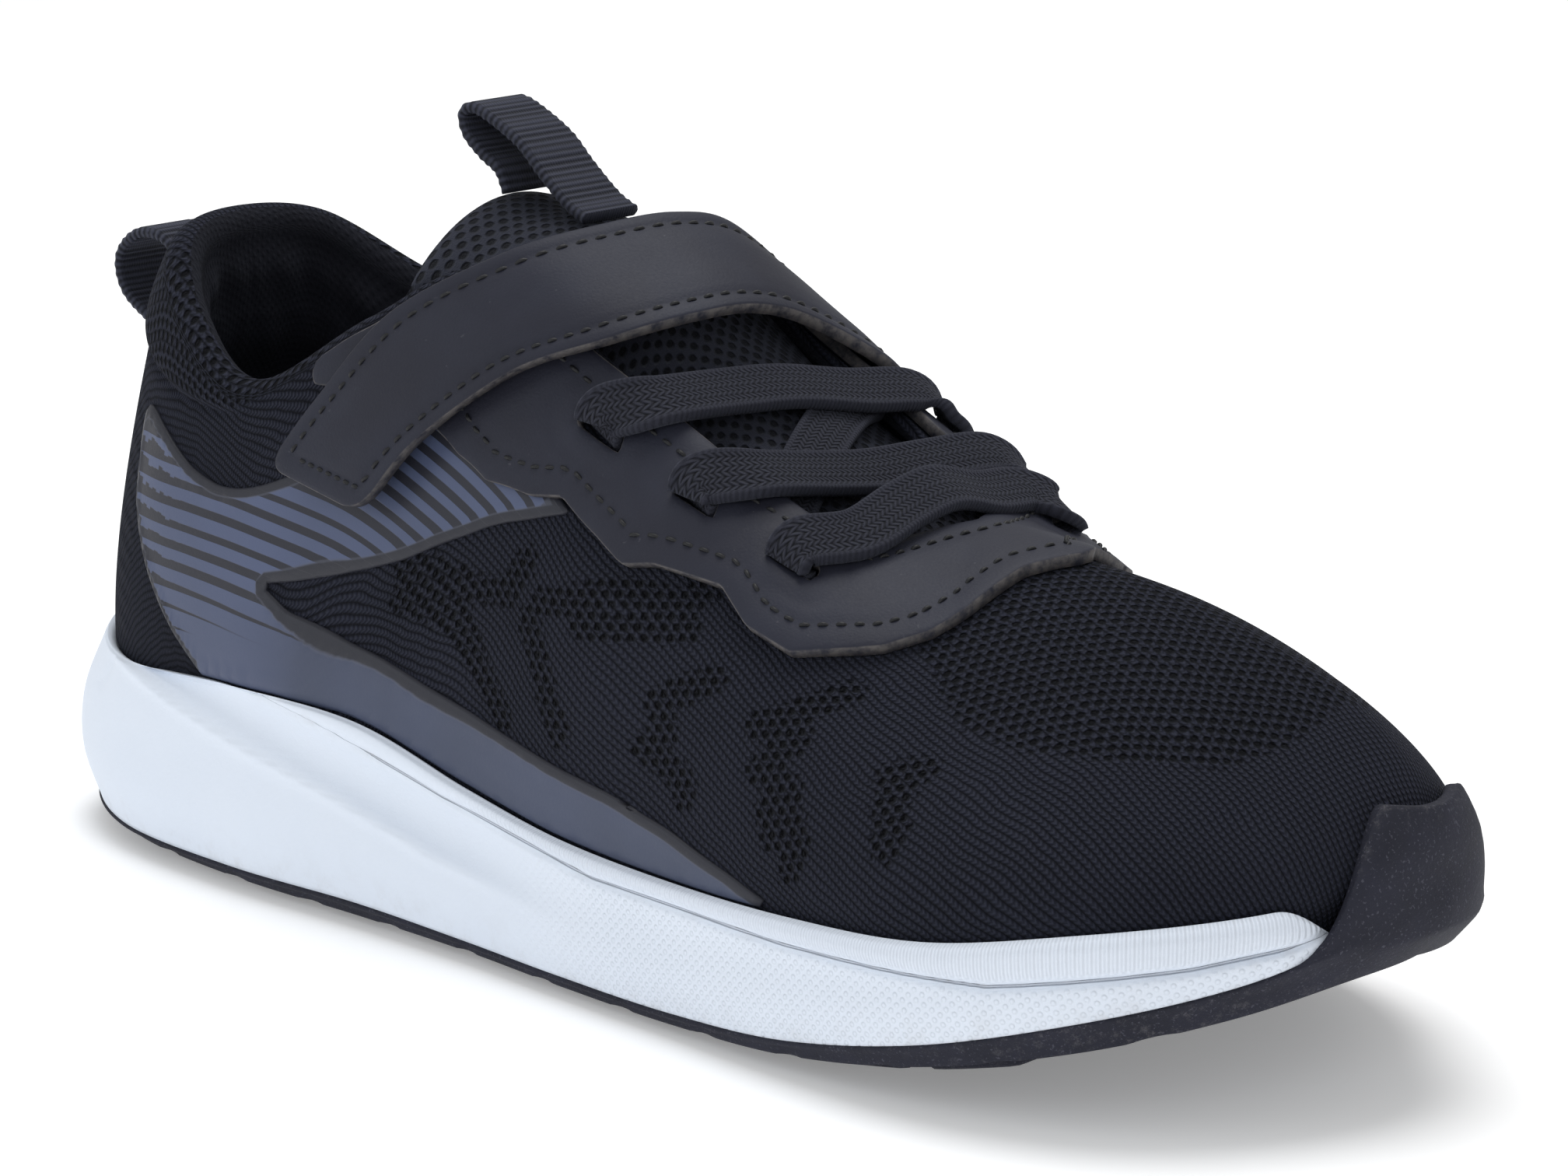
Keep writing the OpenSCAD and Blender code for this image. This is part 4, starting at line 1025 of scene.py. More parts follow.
def outsole_piece():
    r = along(SOLE, W_US)
    f = feather(US)
    x, fz = f[:, 0], f[:, 2]
    b = ramp(11.45, 12.3, W_US)
    climb = 0.36 * b
    # Lugs show along the edge as shallow waves
    saw = np.abs(np.mod(x + 94, 16) / 16 - 0.5) * 2
    notch = 0.55 * ramp(0.72, 0.95, saw) * (1 - b) * ramp(-112, -98, x)

    def at(o, z):
        return on_sole(US, o + 0 * x, z)

    def wall(v, d):
        return upper(US, v, d + 0 * x)

    def mix(p, q):
        return p * (1 - b)[:, None] + q * b[:, None]

    corner = [at(-6, r[:, 1]), at(r[:, 2] - 1.0, r[:, 1]), at(r[:, 2] - 0.05, r[:, 1] + 0.12 + notch),
              at(r[:, 4] * (0.4 + 0.44 * b) + r[:, 2] * (0.6 - 0.44 * b),
                 r[:, 1] * (0.5 - 0.1 * b) + r[:, 3] * (0.5 + 0.1 * b) + notch * 0.5)]
    outer = [at(r[:, 4] + 0.15 - 0.2 * b, r[:, 3] - 0.35 - 0.6 * b),
             at(r[:, 4] - 0.1 + 0.15 * b, r[:, 3] + 0.05 + 1.3 * b),
             mix(at(r[:, 4] - 0.4, r[:, 3] + 0.1), at(0.6 + BUMPER_T * 1.2, fz)),
             mix(at(r[:, 4] - 0.5, r[:, 3] + 0.1), wall(climb / 2, 0.6 + BUMPER_T)),
             mix(at(r[:, 4] - 0.6, r[:, 3] + 0.1), wall(climb * 0.92, 0.35 + BUMPER_T)),
             mix(at(r[:, 4] - 0.65, r[:, 3] + 0.05), wall(climb, 1.9)),
             mix(at(r[:, 4] - 0.8, r[:, 3]), wall(climb, 0.35)),
             mix(at(r[:, 4] - 0.95, r[:, 3]), wall(climb / 2, 0.4)),
             mix(at(r[:, 4] - 1.1, r[:, 3]), at(0.5, fz)),
             mix(at(r[:, 4] - 1.25, r[:, 3]), at(0.3, r[:, 0] - 0.4)),
             at(-1.5 - 2 * b, r[:, 1] + PLATE_T), at(-6, r[:, 1] + PLATE_T)]
    rows = curve_rows(np.array(corner + outer), 3)
    rows[:4, :, 2] = r[:, 1]
    P = rows.transpose(1, 0, 2)
    n, m = P.shape[:2]
    mm = triples(round_mm(US)[:, None], P[..., 2], 0.0)
    edge_wear = np.exp(-np.abs(P[..., 2] - r[:, 3:4]) / 0.5) * 0.15
    j = np.arange(m) / 3
    lip = np.exp(-((j - 8.3) / 0.5)**2)[None] * b[:, None]
    under = ramp(60, 100, P[..., 0]) * (1 - ramp(14, 22, P[..., 2])) * 0.8
    wear = np.clip(edge_wear + lip + under, 0, 1)
    zone = triples(0.0, 0.0, wear)
    faces = ring_faces(n, m)
    P, mm, zone = P.reshape(-1, 3), mm.reshape(-1, 3), zone.reshape(-1, 3)
    # Tread lugs stand down from the plate, in two columns of slanted blocks
    lug_rows = np.arange(-94, 104, 16.0)
    half_gap, last_x, from_edge, lean, lug_t = 1.5, 96, 3.2, 2.0, 2.65
    parts_p, parts_f, parts_m = [P], [faces], [mm]
    base = len(P)

    def lug_lift(q, h):
        return np.column_stack([q, ground_z(q[:, 0]) + 1.3 - h])

    for x0, x1 in zip(lug_rows[:-1] + half_gap, lug_rows[1:] - half_gap):
        if x1 > last_x:
            continue
        for side, line in ((-1, feather(HEEL_TO_TOE)), (1, feather(N - HEEL_TO_TOE))):
            h0, h1 = np.interp([x0, x1], line[:, 0], np.abs(line[:, 1])) - from_edge
            for y, end0, end1 in ((1.5, 12.5, 12.5), (14.5, h0, h1)):
                if min(end0, end1) < y + 4:
                    continue
                shape = np.array([[x0, y], [x1 - 1, y], [x1 + lean, end1], [x0 + lean, end0]])
                shape[:, 1] *= side
                shape = soften(shape, 3.0, 2)
                p, fc, m3 = sheet_mesh([shape], 2.2, lug_lift, lambda d, q: lug_t + 0 * d, 0.0, 0.35)
                p[:, 2] = np.maximum(p[:, 2], 0.02)
                parts_p.append(p)
                parts_f.append((fc[:, ::-1] + base).tolist())
                parts_m.append(m3)
                base += len(p)
    P = np.vstack(parts_p)
    zone = np.vstack([zone, np.tile([0, 0, 0.5], (len(P) - len(zone), 1))])
    piece("outsole_body", P, [f for part in parts_f for f in part], RUBBER,
          mm=np.vstack(parts_m), zone=zone, replaces=("outsole",), closed=True)


def insole_piece():
    w = np.linspace(0, TOE, 161)
    z = along(SOLE, w)[:, 0] + 1.4 + GAP
    inset = 2.5 + KNIT_T + GAP + LINING_T + 0.35
    a = on_sole(w, -inset + 0 * w, z)
    b = on_sole(N - w, -inset + 0 * w, z)
    s = np.linspace(0, 1, 33)
    rim = 1 - (2 * s - 1)**8
    top = a[:, None] + (b - a)[:, None] * s[None, :, None]
    top[..., 2] += 3.2 * rim + 1.1 * (2 * s - 1)**2 * rim * (1 - ramp(3, 8, w))[:, None]
    end = 1 - (1 - ramp(0, 0.35, w)) - ramp(12.7, TOE, w)
    top[..., 2] = z[:, None] + (top[..., 2] - z[:, None]) * end[:, None]
    low = a[:, None] + (b - a)[:, None] * s[None, :, None]
    P = np.stack([top, low])
    n, m = len(w), len(s)
    up = grid_faces(n, m)
    down = grid_faces(n, m, base=n * m)[:, ::-1]
    obj = piece("insole_pad", P, tidy_faces(np.vstack([up, down]).tolist()), INSOLE,
                replaces=("insole",), weld=0.01, closed=True)


# ---- Knitted shell and lining ----
def rim_radius(u):
    """Radius of the rolled edge round the opening."""
    w = from_heel(u)
    return (1.22 + 1.42 * (1 - ramp(3.0, 4.5, w))) * (1 - ramp(8.75, 9.0, w))


def heel_zone(u):
    """1 where the heel counter and the foam lie behind the lining."""
    return 1 - ramp(3.9, 4.5, from_heel(u))


def lining_depth(u, v):
    """Depth of the lining's outer face below the upper's surface."""
    h = heel_zone(u)
    soft = (FOAM_T - COUNTER_T) * h * ramp(0.5, 0.68, v) * (1 - 0.6 * ramp(0.86, 1, v))
    return KNIT_T + GAP + (COUNTER_T + GAP) * h + soft + (PUFF_T + GAP) * ramp(10.4, 11, from_heel(u))


HEIGHT_U = np.interp(US, TU, HEIGHT)
V1 = 1 - rim_radius(US) / np.maximum(HEIGHT_U, 5)
# Stations where the shoe is open, from the inner end of the ridge round the heel to its outer end
OPEN_I = list(range((N - RIDGE) * PER_ROW, N * PER_ROW)) + list(range(RIDGE * PER_ROW + 1))


def rim_points(angles):
    """Rows of the rolled edge, for the stations where the shoe is open."""
    u, v1, r = US[OPEN_I], V1[OPEN_I], rim_radius(US[OPEN_I])
    p = upper(u, v1, 0.0)
    up = unit(skin(u, v1) - skin(u, v1 - 0.03))
    n = normal(u, v1)
    n = unit(n - up * (n * up).sum(-1, keepdims=True))
    c = p - n * r[:, None]
    return np.array([c + n * (r * math.cos(a))[:, None] + up * (r * math.sin(a))[:, None]
                     for a in np.radians(angles)])


# Lines of holes in the flat layout, for the outer side and mirrored for the inner
ZIGZAGS = [
    [(8.7, -51), (21, -59)],
    [(34.8, -41), (29.5, -48), (32.9, -50.4), (31, -53.8), (38, -54), (39, -56)],
    [(51.7, -31.8), (48.3, -36.8), (43.8, -42.5), (50.2, -40.4), (47, -46.9), (53.3, -46.4),
     (50.9, -50.4), (56, -49.5), (53, -52.5), (58, -51.5), (57.8, -55)],
    [(68.2, -36.2), (64.5, -38.8), (67.9, -40.5), (66.7, -42.2), (70.1, -43.7), (69.2, -45.8), (70.8, -46.5)],
    [(-14.7, -55.8), (-1.4, -58.2), (4.2, -61.5), (11.9, -64.7)],
    [(-15.9, -52.8), (-2.1, -54.1), (3.7, -51.2), (3.9, -45.4)],
    [(9, -48), (17.8, -39), (25, -36), (27, -32)],
    [(16, -46), (28, -38)]]
# The open knit of the toe in the flat layout, mirrored for the inner half
VAMP = [(55.5, -22.6), (68, -29.8), (77.7, -29.9), (88.5, -25.4), (97.8, -17.7), (101, -9), (101, -0.9),
        (99, 6), (45, 6), (45, -20)]


def knit_zone(u, v, q):
    """How much each point has of open knit, of zigzag lines of holes, and of heel ribs."""
    w = from_heel(u)
    mirrored = np.column_stack([q[:, 0], 3 - np.abs(q[:, 1] - 3)])
    vamp = ramp(-0.8, 0.8, depth_inside(mirrored, VAMP))
    seam = lookup(V_SEAM, w)
    collar = ramp(0.01, 0.04, v - seam) * ramp(0.9, 1.6, w) * (1 - ramp(4.9, 5.3, w))
    side = np.column_stack([q[:, 0], -np.abs(q[:, 1])])
    zig = 1 - ramp(1.7, 2.1, line_reach(side, ZIGZAGS))
    rib = (1 - ramp(1.8, 2.0, w)) * (1 - ramp(0.6, 0.68, v))
    return np.column_stack([np.maximum(vamp, collar), zig, rib])


def wall_grid(s):
    """Rows over every station: s below 0 is tucked under, and 1 is where the rolled edge begins."""
    S, U = np.meshgrid(s, US)
    return S, U, np.where(S > 0, S * V1[:, None], S)


def layer_piece(name, U, V, P, angles, inside, material, replaces):
    """A layer of the upper: the wall P over the grid U, V, and its share of the rolled edge."""
    n, m = U.shape
    rim = rim_points(angles).transpose(1, 0, 2)
    k = rim.shape[1]
    base = n * m
    turn, end = (-1, k - 1) if inside else (1, 0)
    joint = [[a * m + m - 1, b * m + m - 1, base + (i + 1) * k + end, base + i * k + end][::turn]
             for i, (a, b) in enumerate(zip(OPEN_I[:-1], OPEN_I[1:]))]
    faces = grid_faces(n, m, loop_n=True)[:, ::turn].tolist() + joint \
        + grid_faces(len(OPEN_I), k, base=base).tolist()
    # The pattern runs on over the edge, past the flat layout's end
    u = US[OPEN_I]
    top = chart(u, 1.0)
    away = unit(top - chart(u, 0.9))
    share = 1 - np.arange(k) / k if inside else np.arange(1, k + 1) / k
    over = top[:, None] + away[:, None] * (rim_radius(u)[:, None] * 1.6 * share)[..., None]
    q = np.vstack([chart(U.reshape(-1), V.reshape(-1)), over.reshape(-1, 2)])
    zone = None
    if not inside:
        zone = knit_zone(np.concatenate([U.reshape(-1), np.repeat(u, k)]),
                         np.concatenate([V.reshape(-1), np.ones(len(u) * k)]), q)
    P = np.vstack([P.reshape(-1, 3), rim.reshape(-1, 3)])
    return piece(name, P, tidy_faces(faces), material, mm=triples(q[:, 0], q[:, 1], 0.0),
                 zone=zone, replaces=replaces, weld=0.002)


def knit_piece():
    _, U, V = wall_grid(np.concatenate([[-1, -0.5], np.linspace(0, 1, 72)]))
    layer_piece("knit_shell", U, V, upper(U, V, 0.0), [18, 36, 54, 72, 90, 105], False, KNIT,
                ("knit_upper",))


def lining_piece():
    S, U, V = wall_grid(np.concatenate([[-0.5], np.linspace(0, 1, 60)]))
    depth = lining_depth(U, np.maximum(V, 0)) + LINING_T
    near_top = ramp(0.86, 1.0, S)
    roll = 2 * rim_radius(U)
    at_top = roll + (depth - roll) * ramp(8.6, 9, from_heel(U))
    depth = depth * (1 - near_top) + at_top * near_top
    soft = heel_zone(U) * ramp(0.45, 0.6, V) * (1 - near_top)
    depth = depth + soft * (0.5 * np.sin(U * 5.1 + 3 * V) + 0.35 * np.sin(U * 11.7 - 9 * V) * np.sin(V * 17))
    P = upper(U, V, -depth - relief(U, V) * 0.8)
    obj = layer_piece("collar_and_lining", U, V, P, [105, 120, 135, 150, 165], True, LINING,
                      ("collar_lining", "forefoot_lining", "collar_foam"))


# ---- Overlays ----
def uv_outline(pairs, side=1):
    """An outline in the flat layout from (u, v) corners; side -1 mirrors them to the inner side."""
    u, v = np.array(pairs, float).T
    if side < 0:
        u = N - u
    # Points between the corners follow the surface's own rows
    U, V = [], []
    for i in range(len(u)):
        j = (i + 1) % len(u)
        k = max(1, int(np.linalg.norm(chart(u[j], v[j]) - chart(u[i], v[i])) / 3))
        t = np.arange(k) / k
        U += list(u[i] + (u[j] - u[i]) * t)
        V += list(v[i] + (v[j] - v[i]) * t)
    return soften(chart(np.array(U), np.array(V)), 2.0, 2)


# Outline of a side panel: from its rear end down to the sole, along the sole, and back above it
PANEL = [(1.75, 0.6), (1.9, 0.42), (2.2, 0.27), (2.5, 0.12), (2.75, 0.01), (3.05, 0.006), (3.65, 0.006),
         (4.1, 0.006), (5.3, 0.006), (6.5, 0.006), (7.4, 0.006), (7.9, 0.01), (7.5, 0.07), (7, 0.12),
         (6.5, 0.14), (5.9, 0.14), (5.3, 0.145), (4.6, 0.16), (3.95, 0.19), (3.45, 0.25),
         (3.25, 0.32), (3.85, 0.35), (4.45, 0.4), (5, 0.46), (5.5, 0.54), (5.85, 0.61), (5.5, 0.65),
         (5, 0.67), (4.45, 0.68), (3.85, 0.66), (3.25, 0.63), (2.8, 0.61), (2.5, 0.62), (2.2, 0.65),
         (1.9, 0.67), (1.75, 0.66)]


def panel_piece(name, node, side):
    outline = uv_outline(PANEL, side)

    def top(d, q):
        return GAP + FILM_T - 0.1 + 0.22 * (1 - ramp(1.2, 1.7, d)) * ramp(0.2, 0.6, d)

    P, F, mm = sheet_mesh([outline], 1.25, lift_upper, top, -0.35, 0.3)
    u, v = unchart(mm[:, :2])
    # The lip follows every edge but the one that the midsole covers
    bare = unchart(outline)[1] > 0.02
    first = int(np.argmax(~bare))
    rim = np.roll(outline, -first, 0)[np.roll(bare, -first)]
    mm[:, 2] = line_reach(mm[:, :2], [rim])
    w = from_heel(u)
    leg = ramp(3.1, 3.9, w) * (1 - ramp(0.27, 0.33, v))
    low = (1 - ramp(0.1, 0.36, v)) * ramp(2.0, 2.8, w)
    zone = np.column_stack([1 - ramp(1.9, 2.6, w), np.maximum(leg, low), np.clip(leg + 0.4 * low, 0, 1)])
    mm = mm.copy()
    mm[:, 1] *= side
    piece(name, P, F, FILM, mm=mm, zone=zone, replaces=(node,))


STAY_EDGE = [(5.2, 0.57), (5.55, 0.59), (5.8, 0.63), (6.15, 0.6), (6.4, 0.58), (6.65, 0.62), (7.2, 0.66),
             (7.45, 0.61), (7.8, 0.6), (8.5, 0.63), (8.85, 0.65), (9.1, 0.71), (9.4, 0.85), (9.7, 0.97)]
# Slots of the lace bands, from and to in rows
OUTER_SLOTS = [(5.8, 6.15), (6.65, 7.0), (7.45, 7.8)]
INNER_SLOTS = [(6.72, 7.07), (7.48, 7.83), (8.05, 8.35)]


def eyestay_outline():
    outer = [(4.68, 0.985), (4.68, 0.66), (4.95, 0.6)] + STAY_EDGE
    left = [(N - u, v) for u, v in [(5.2, 0.985)] + STAY_EDGE][::-1]
    inner_top = [(N - u, 0.992) for u in (5.2, 6, 7, 8, 8.6, 8.85)]
    outer_top = [(u, 0.992) for u in (8.85, 8.6, 8, 7, 6, 5.2, 4.9)]
    q = [chart(u, v) for u, v in outer] + [chart(u, v) for u, v in left]
    q += [chart(u, v) for u, v in inner_top]
    tip = (chart(8.95, 1.0) + chart(N - 8.95, 1.0)) / 2
    q += [tip] + [chart(u, v) for u, v in outer_top]
    return soften(np.array(q)[1:-1], 0.9, 1)


def slot_outline(u0, u1, side):
    """A slot of the eyestay for one end of a lace band."""
    us = (u0, u1) if side > 0 else (N - u0, N - u1)
    q = [chart(us[0], 0.79), chart(us[1], 0.79), chart(us[1], 0.84), chart(us[0], 0.84)]
    return soften(np.array(q), 1.0, 2)


def leather_top(height):
    """Slightly uneven leather, pulled down along its stitches and at its edge."""
    def top(d, q):
        wide = 0.06 * np.sin(q[:, 0] * 0.31) * np.sin(q[:, 1] * 0.23)
        return height + wide - 0.16 * np.exp(-((d - 3.6) / 0.9)**2) - 0.1 * np.exp(-(d / 0.8)**2)
    return top


def eyestay_pieces():
    outline = eyestay_outline()
    slots = [slot_outline(a, b, 1) for a, b in OUTER_SLOTS] + [slot_outline(a, b, -1) for a, b in INNER_SLOTS]
    P, F, mm = sheet_mesh([outline] + slots, 0.85, lift_upper, leather_top(STAY_D1), 0.25, 0.22)
    piece("eyestay_overlay", P, F, LEATHER, mm=mm, replaces=("eyestay",))
    line = offset_path(outline, 3.6)
    jumps = np.linalg.norm(np.diff(line, axis=0), axis=1)
    cuts = [0] + [i + 1 for i in np.where(jumps > 6)[0]] + [len(line)]
    runs = [line[a:b] for a, b in zip(cuts[:-1], cuts[1:]) if b - a > 3]
    runs = [keep for run in runs for keep in split_clear(run, slots, 1.6)]
    stitches("eyestay_stitching", runs, lambda q, h: lift_upper(q, h + STAY_D1 - 0.12))


def split_clear(run, outlines, reach):
    """The parts of a line that stay clear of some outlines."""
    dist, _, _ = nearest_on(outlines, run)
    good = dist > reach
    out, now = [], []
    for p, ok in zip(run, good):
        if ok:
            now.append(p)
        elif now:
            out.append(np.array(now))
            now = []
    if now:
        out.append(np.array(now))
    return [r for r in out if len(r) > 3]


def patch(name, node, corners, side, low, high, stitch, material=LEATHER):
    """A flat piece lying on the upper, stitched round at a distance inside its edge where stitch isn't 0."""
    outline = uv_outline(corners, side)
    P, F, mm = sheet_mesh([outline], 0.85, lift_upper, leather_top(high), low, 0.2)
    piece(name, P, F, material, mm=mm, replaces=(node,))
    if stitch:
        stitches(name + "_stitching", offset_loop(outline, stitch),
                 lambda q, h: lift_upper(q, h + high - 0.1))


# ---- Strap ----
def up_at(u, v, d):
    """A point d over the upper, without the collar's swell."""
    return skin(u, v) + normal(u, v) * d


def strap_edges():
    """The strap's two long edges, from its free end over the instep to its fixed end."""
    rear = [up_at(3.45, 0.66, GRIP_LIFT), up_at(3.8, 0.8, GRIP_LIFT), up_at(4.4, 0.93, GRIP_LIFT + 0.4),
            (-21.6, -19.2, 89.9), (-14.5, -9, 93), (-11, 0, 93.8), (-10, 9, 91.4),
            up_at(N - 5.6, 0.94, STRAP_LIFT + 0.4), up_at(N - 5.75, 0.78, STRAP_LIFT)]
    front = [up_at(4.2, 0.49, GRIP_LIFT), up_at(4.7, 0.62, GRIP_LIFT), up_at(5.4, 0.8, GRIP_LIFT + 0.4),
             (-2, -19.1, 81.4), (3, -9.5, 83.6), (5, -1, 83.8), (6, 8, 81),
             up_at(N - 6.5, 0.94, STRAP_LIFT + 0.4), up_at(N - 6.55, 0.78, STRAP_LIFT)]
    return np.array(rear, float).reshape(-1, 3), np.array(front, float).reshape(-1, 3)


REAR, FRONT = strap_edges()
SP = np.linspace(0, 8, 321)
S_MID = (along(REAR, SP) + along(FRONT, SP)) / 2
S_ARC = lengths(S_MID)
S_LEN = S_ARC[-1]
HALF = 13.0


def strap_lift(q, h):
    """Points of the flat strap (along it, across it), h over its underside."""
    p = np.interp(q[:, 0], S_ARC, SP)
    a, b = along(REAR, p), along(FRONT, p)
    e = 0.12
    ahead = along(REAR, np.clip(p + e, 0, 8)) + along(FRONT, np.clip(p + e, 0, 8))
    behind = along(REAR, np.clip(p - e, 0, 8)) + along(FRONT, np.clip(p - e, 0, 8))
    n = unit(np.cross(b - a, ahead - behind))
    t = (q[:, 1] + HALF) / (2 * HALF)
    return a + (b - a) * t[:, None] + n * np.asarray(h)[:, None]


def strap_outline(lo, hi, inset, corner):
    q = np.array([[lo, -HALF + inset], [hi, -HALF + inset], [hi, HALF - inset], [lo, HALF - inset]], float)
    c = [q[0] + [corner, 0], q[1], q[2], q[3] + [corner, 0], q[3] + [corner * 0.3, -corner * 0.3],
         q[3] + [0, -corner], q[0] + [0, corner], q[0] + [corner * 0.3, corner * 0.3]]
    return soften(np.array(c), 2.5, 2)


def strap_pieces():
    outline = strap_outline(0, S_LEN, 0, 3.4)

    def top(d, q):
        crown = 0.25 * ramp(3, 9, d)
        return STRAP_T - 0.1 + crown - 0.28 * np.exp(-((d - 3.3) / 0.75)**2) - 0.12 * np.exp(-(d / 0.9)**2)

    P, F, mm = sheet_mesh([outline], 0.85, strap_lift, top, 0.0, 0.25)
    piece("strap_band", P, F, LEATHER, "strap", mm=mm, replaces=("strap",))
    stitches("strap_stitching", offset_loop(outline, 3.3),
             lambda q, h: strap_lift(q, h + STRAP_T - 0.32), "strap", pitch=2.45, length=1.8)
    lo, hi = np.interp([0.15, 0.95], SP, S_ARC)
    hook = strap_outline(lo, hi, 1.4, 2.0)
    P, F, mm = sheet_mesh([hook], 1.1, strap_lift, lambda d, q: -GAP + 0 * d, -TAPE_T - GAP, 0.2)
    piece("hook_tape_pad", P, F, HOOKS, "strap", mm=mm, replaces=("hook_tape",))


# ---- Bands ----
def band_section(half, thick, n=26):
    """Across a flat elastic: rolled cords at the sides, slightly domed between. Closed loop."""
    cord = thick * 0.62
    t = np.linspace(0, 1, n // 2)
    y = -np.cos(t * np.pi) * half
    k = np.abs(y) / half
    up = thick * 0.42 + thick * 0.16 * (1 - k**2) + cord * 0.45 * np.exp(-((k - 0.9) / 0.08)**2)
    up = up * (1 - ramp(0.965, 1.0, k))
    lower = -thick * 0.42 * (1 - ramp(0.96, 1.0, k))
    top = np.column_stack([y, up])
    bottom = np.column_stack([y, lower])[::-1][1:-1]
    return np.vstack([top, bottom])


def sweep(mid, width_dir, section, scale, lift):
    """Carries a section along a line. Returns points and the mm attribute."""
    tangent = unit(np.gradient(mid, axis=0))
    width = unit(width_dir - tangent * (width_dir * tangent).sum(-1, keepdims=True))
    up = np.cross(width, tangent)
    up *= np.sign(up[:, 2:3] + 1e-9)
    P = mid[:, None] + width[:, None] * (section[None, :, 0:1] * scale[:, None, None]) \
        + up[:, None] * (section[None, :, 1:2] + lift)
    arc = lengths(mid)
    half = np.abs(section[:, 0]).max()
    mm = triples(arc[:, None], section[:, 0], half - np.abs(section[:, 0]))
    return P, mm


BAND_LIFT = STAY_D1 + 0.9


def over_mid(u0, u1, sag):
    """The middle line of a lace band, from its outer slot over the gap to its inner slot."""
    b = up_at(u0 + 0.36, 0.97, BAND_LIFT)
    c = up_at(N - u1 + 0.08, 0.95, BAND_LIFT - 0.2)
    down = np.array([0, 0, -sag], float)
    return [up_at(u0, 0.80, -0.6), up_at(u0, 0.812, 1.9), up_at(u0 + 0.05, 0.86, BAND_LIFT), b,
            b + (c - b) * 0.27 + down * 0.7, b + (c - b) * 0.5 + down, b + (c - b) * 0.76 + down * 0.3, c,
            up_at(N - u1, 0.86, BAND_LIFT - 0.15), up_at(N - u1, 0.812, 1.8), up_at(N - u1, 0.80, -0.6)]


# The tongue from its root to its free end: x, z, half width, and how far its sides drop
TONGUE = np.array([
    [53, 51.5, 10, 4], [43, 55, 14, 2.5], [36, 57.6, 16.5, 2.2], [26, 62.7, 18.3, 3], [14, 69.8, 18.8, 5],
    [2, 79.4, 18.3, 9.2], [-10, 89.4, 17.8, 12.6], [-21.5, 92.4, 17, 10.2], [-33, 93.6, 18, 9],
    [-42.5, 94.2, 20, 10.5]], float)


def on_tongue(t, s, d):
    """A point d over the tongue's face: t counts the rows above, s runs across from -1 to 1."""
    t, s, d = np.broadcast_arrays(np.asarray(t, float), np.asarray(s, float), np.asarray(d, float))
    r = along(TONGUE, t)
    e = along(TONGUE, t + 0.02) - along(TONGUE, t - 0.02)
    across = np.stack([0 * s, r[..., 2], -2 * r[..., 3] * s], -1)
    n = unit(np.cross(np.stack([-e[..., 0], 0 * s, -e[..., 1]], -1), across))
    return np.stack([r[..., 0], r[..., 2] * s, r[..., 1] - r[..., 3] * s * s], -1) + n * d[..., None]


def band_piece(name, node, mid_points, dive=True):
    section = band_section(3.75, 1.55)
    k = np.linspace(0, len(mid_points) - 1, 110)
    mid = along(mid_points, k)
    scale = np.ones(len(k))
    if dive:
        scale = 0.88 + 0.12 * ramp(1, 2.4, k) * (1 - ramp(len(mid_points) - 3.4, len(mid_points) - 2, k))
    P, mm = sweep(mid, np.array([1, 0, -0.62]), section, scale, 0.6)
    piece(name, P, loop_faces(len(k), len(section)), ELASTIC, mm=mm, replaces=(node,),
          closed=True)


def bands():
    band_piece("front_lace_band", "lace_band_front", over_mid(7.6, 8.08, -3))
    band_piece("middle_lace_band", "lace_band_middle", over_mid(6.82, 7.62, 1))
    band_piece("rear_lace_band", "lace_band_rear", over_mid(5.97, 6.9, -1.2))
    for name, node, t0, s0, t1, s1 in (("front_cross_band", "cross_band_front", 2.2, -0.82, 3.3, 0.82),
                                       ("rear_cross_band", "cross_band_rear", 3.2, -0.78, 4.4, 0.74)):
        mid = [on_tongue(t0 + (t1 - t0) * k / 6, s0 + (s1 - s0) * k / 6, 0.55) for k in range(7)]
        band_piece(name, node, mid, dive=False)


# ---- Tongue ----
def tongue_piece():
    last, thick, rounding = len(TONGUE) - 1, 5.5, 0.35
    t = np.linspace(0, last, 150)
    s_top = np.linspace(-1, 1, 33)
    ends = np.clip(np.minimum(last - t, t) / rounding, 0, 1)
    ends = np.sqrt(np.clip(1 - (1 - ends)**2, 0, 1))
    side = np.sqrt(np.clip(1 - np.abs(s_top)**5, 0, 1))
    T, S = np.meshgrid(t, s_top, indexing="ij")
    puff = (0.45 * np.sin(T * 3.1) * np.cos(S * 2.2) + 0.25 * np.sin(T * 7 + 2 * S)) * (1 - np.abs(S)**3)
    fat = thick / 2 * side[None] * ends[:, None]
    # Over the instep the face stays level out to the edges, and at the free top they turn down
    turned = ramp(5.2, 7, t)[:, None]
    mid = -fat * (1 - turned) - thick / 2 * turned
    upper_d = mid + fat + puff * 0.5 * ends[:, None]
    lower_d = mid - fat
    U = on_tongue(T, S, upper_d)
    L = on_tongue(T[:, 1:-1], S[:, 1:-1][:, ::-1], lower_d[:, 1:-1][:, ::-1])
    P = np.concatenate([U, L], 1)
    arc = lengths(along(TONGUE, t)[:, :2])
    width = np.concatenate([s_top, s_top[1:-1][::-1]]) * 20
    mm = triples(arc[:, None], width, 0.0)
    obj = piece("tongue_pad", P, loop_faces(*P.shape[:2]), MESH, None, mm=mm, closed=True,
                replaces=("tongue_mesh", "tongue_foam", "tongue_lining", "tongue_top_mesh",
                          "tongue_top_foam", "tongue_top_lining"))
    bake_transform(obj)


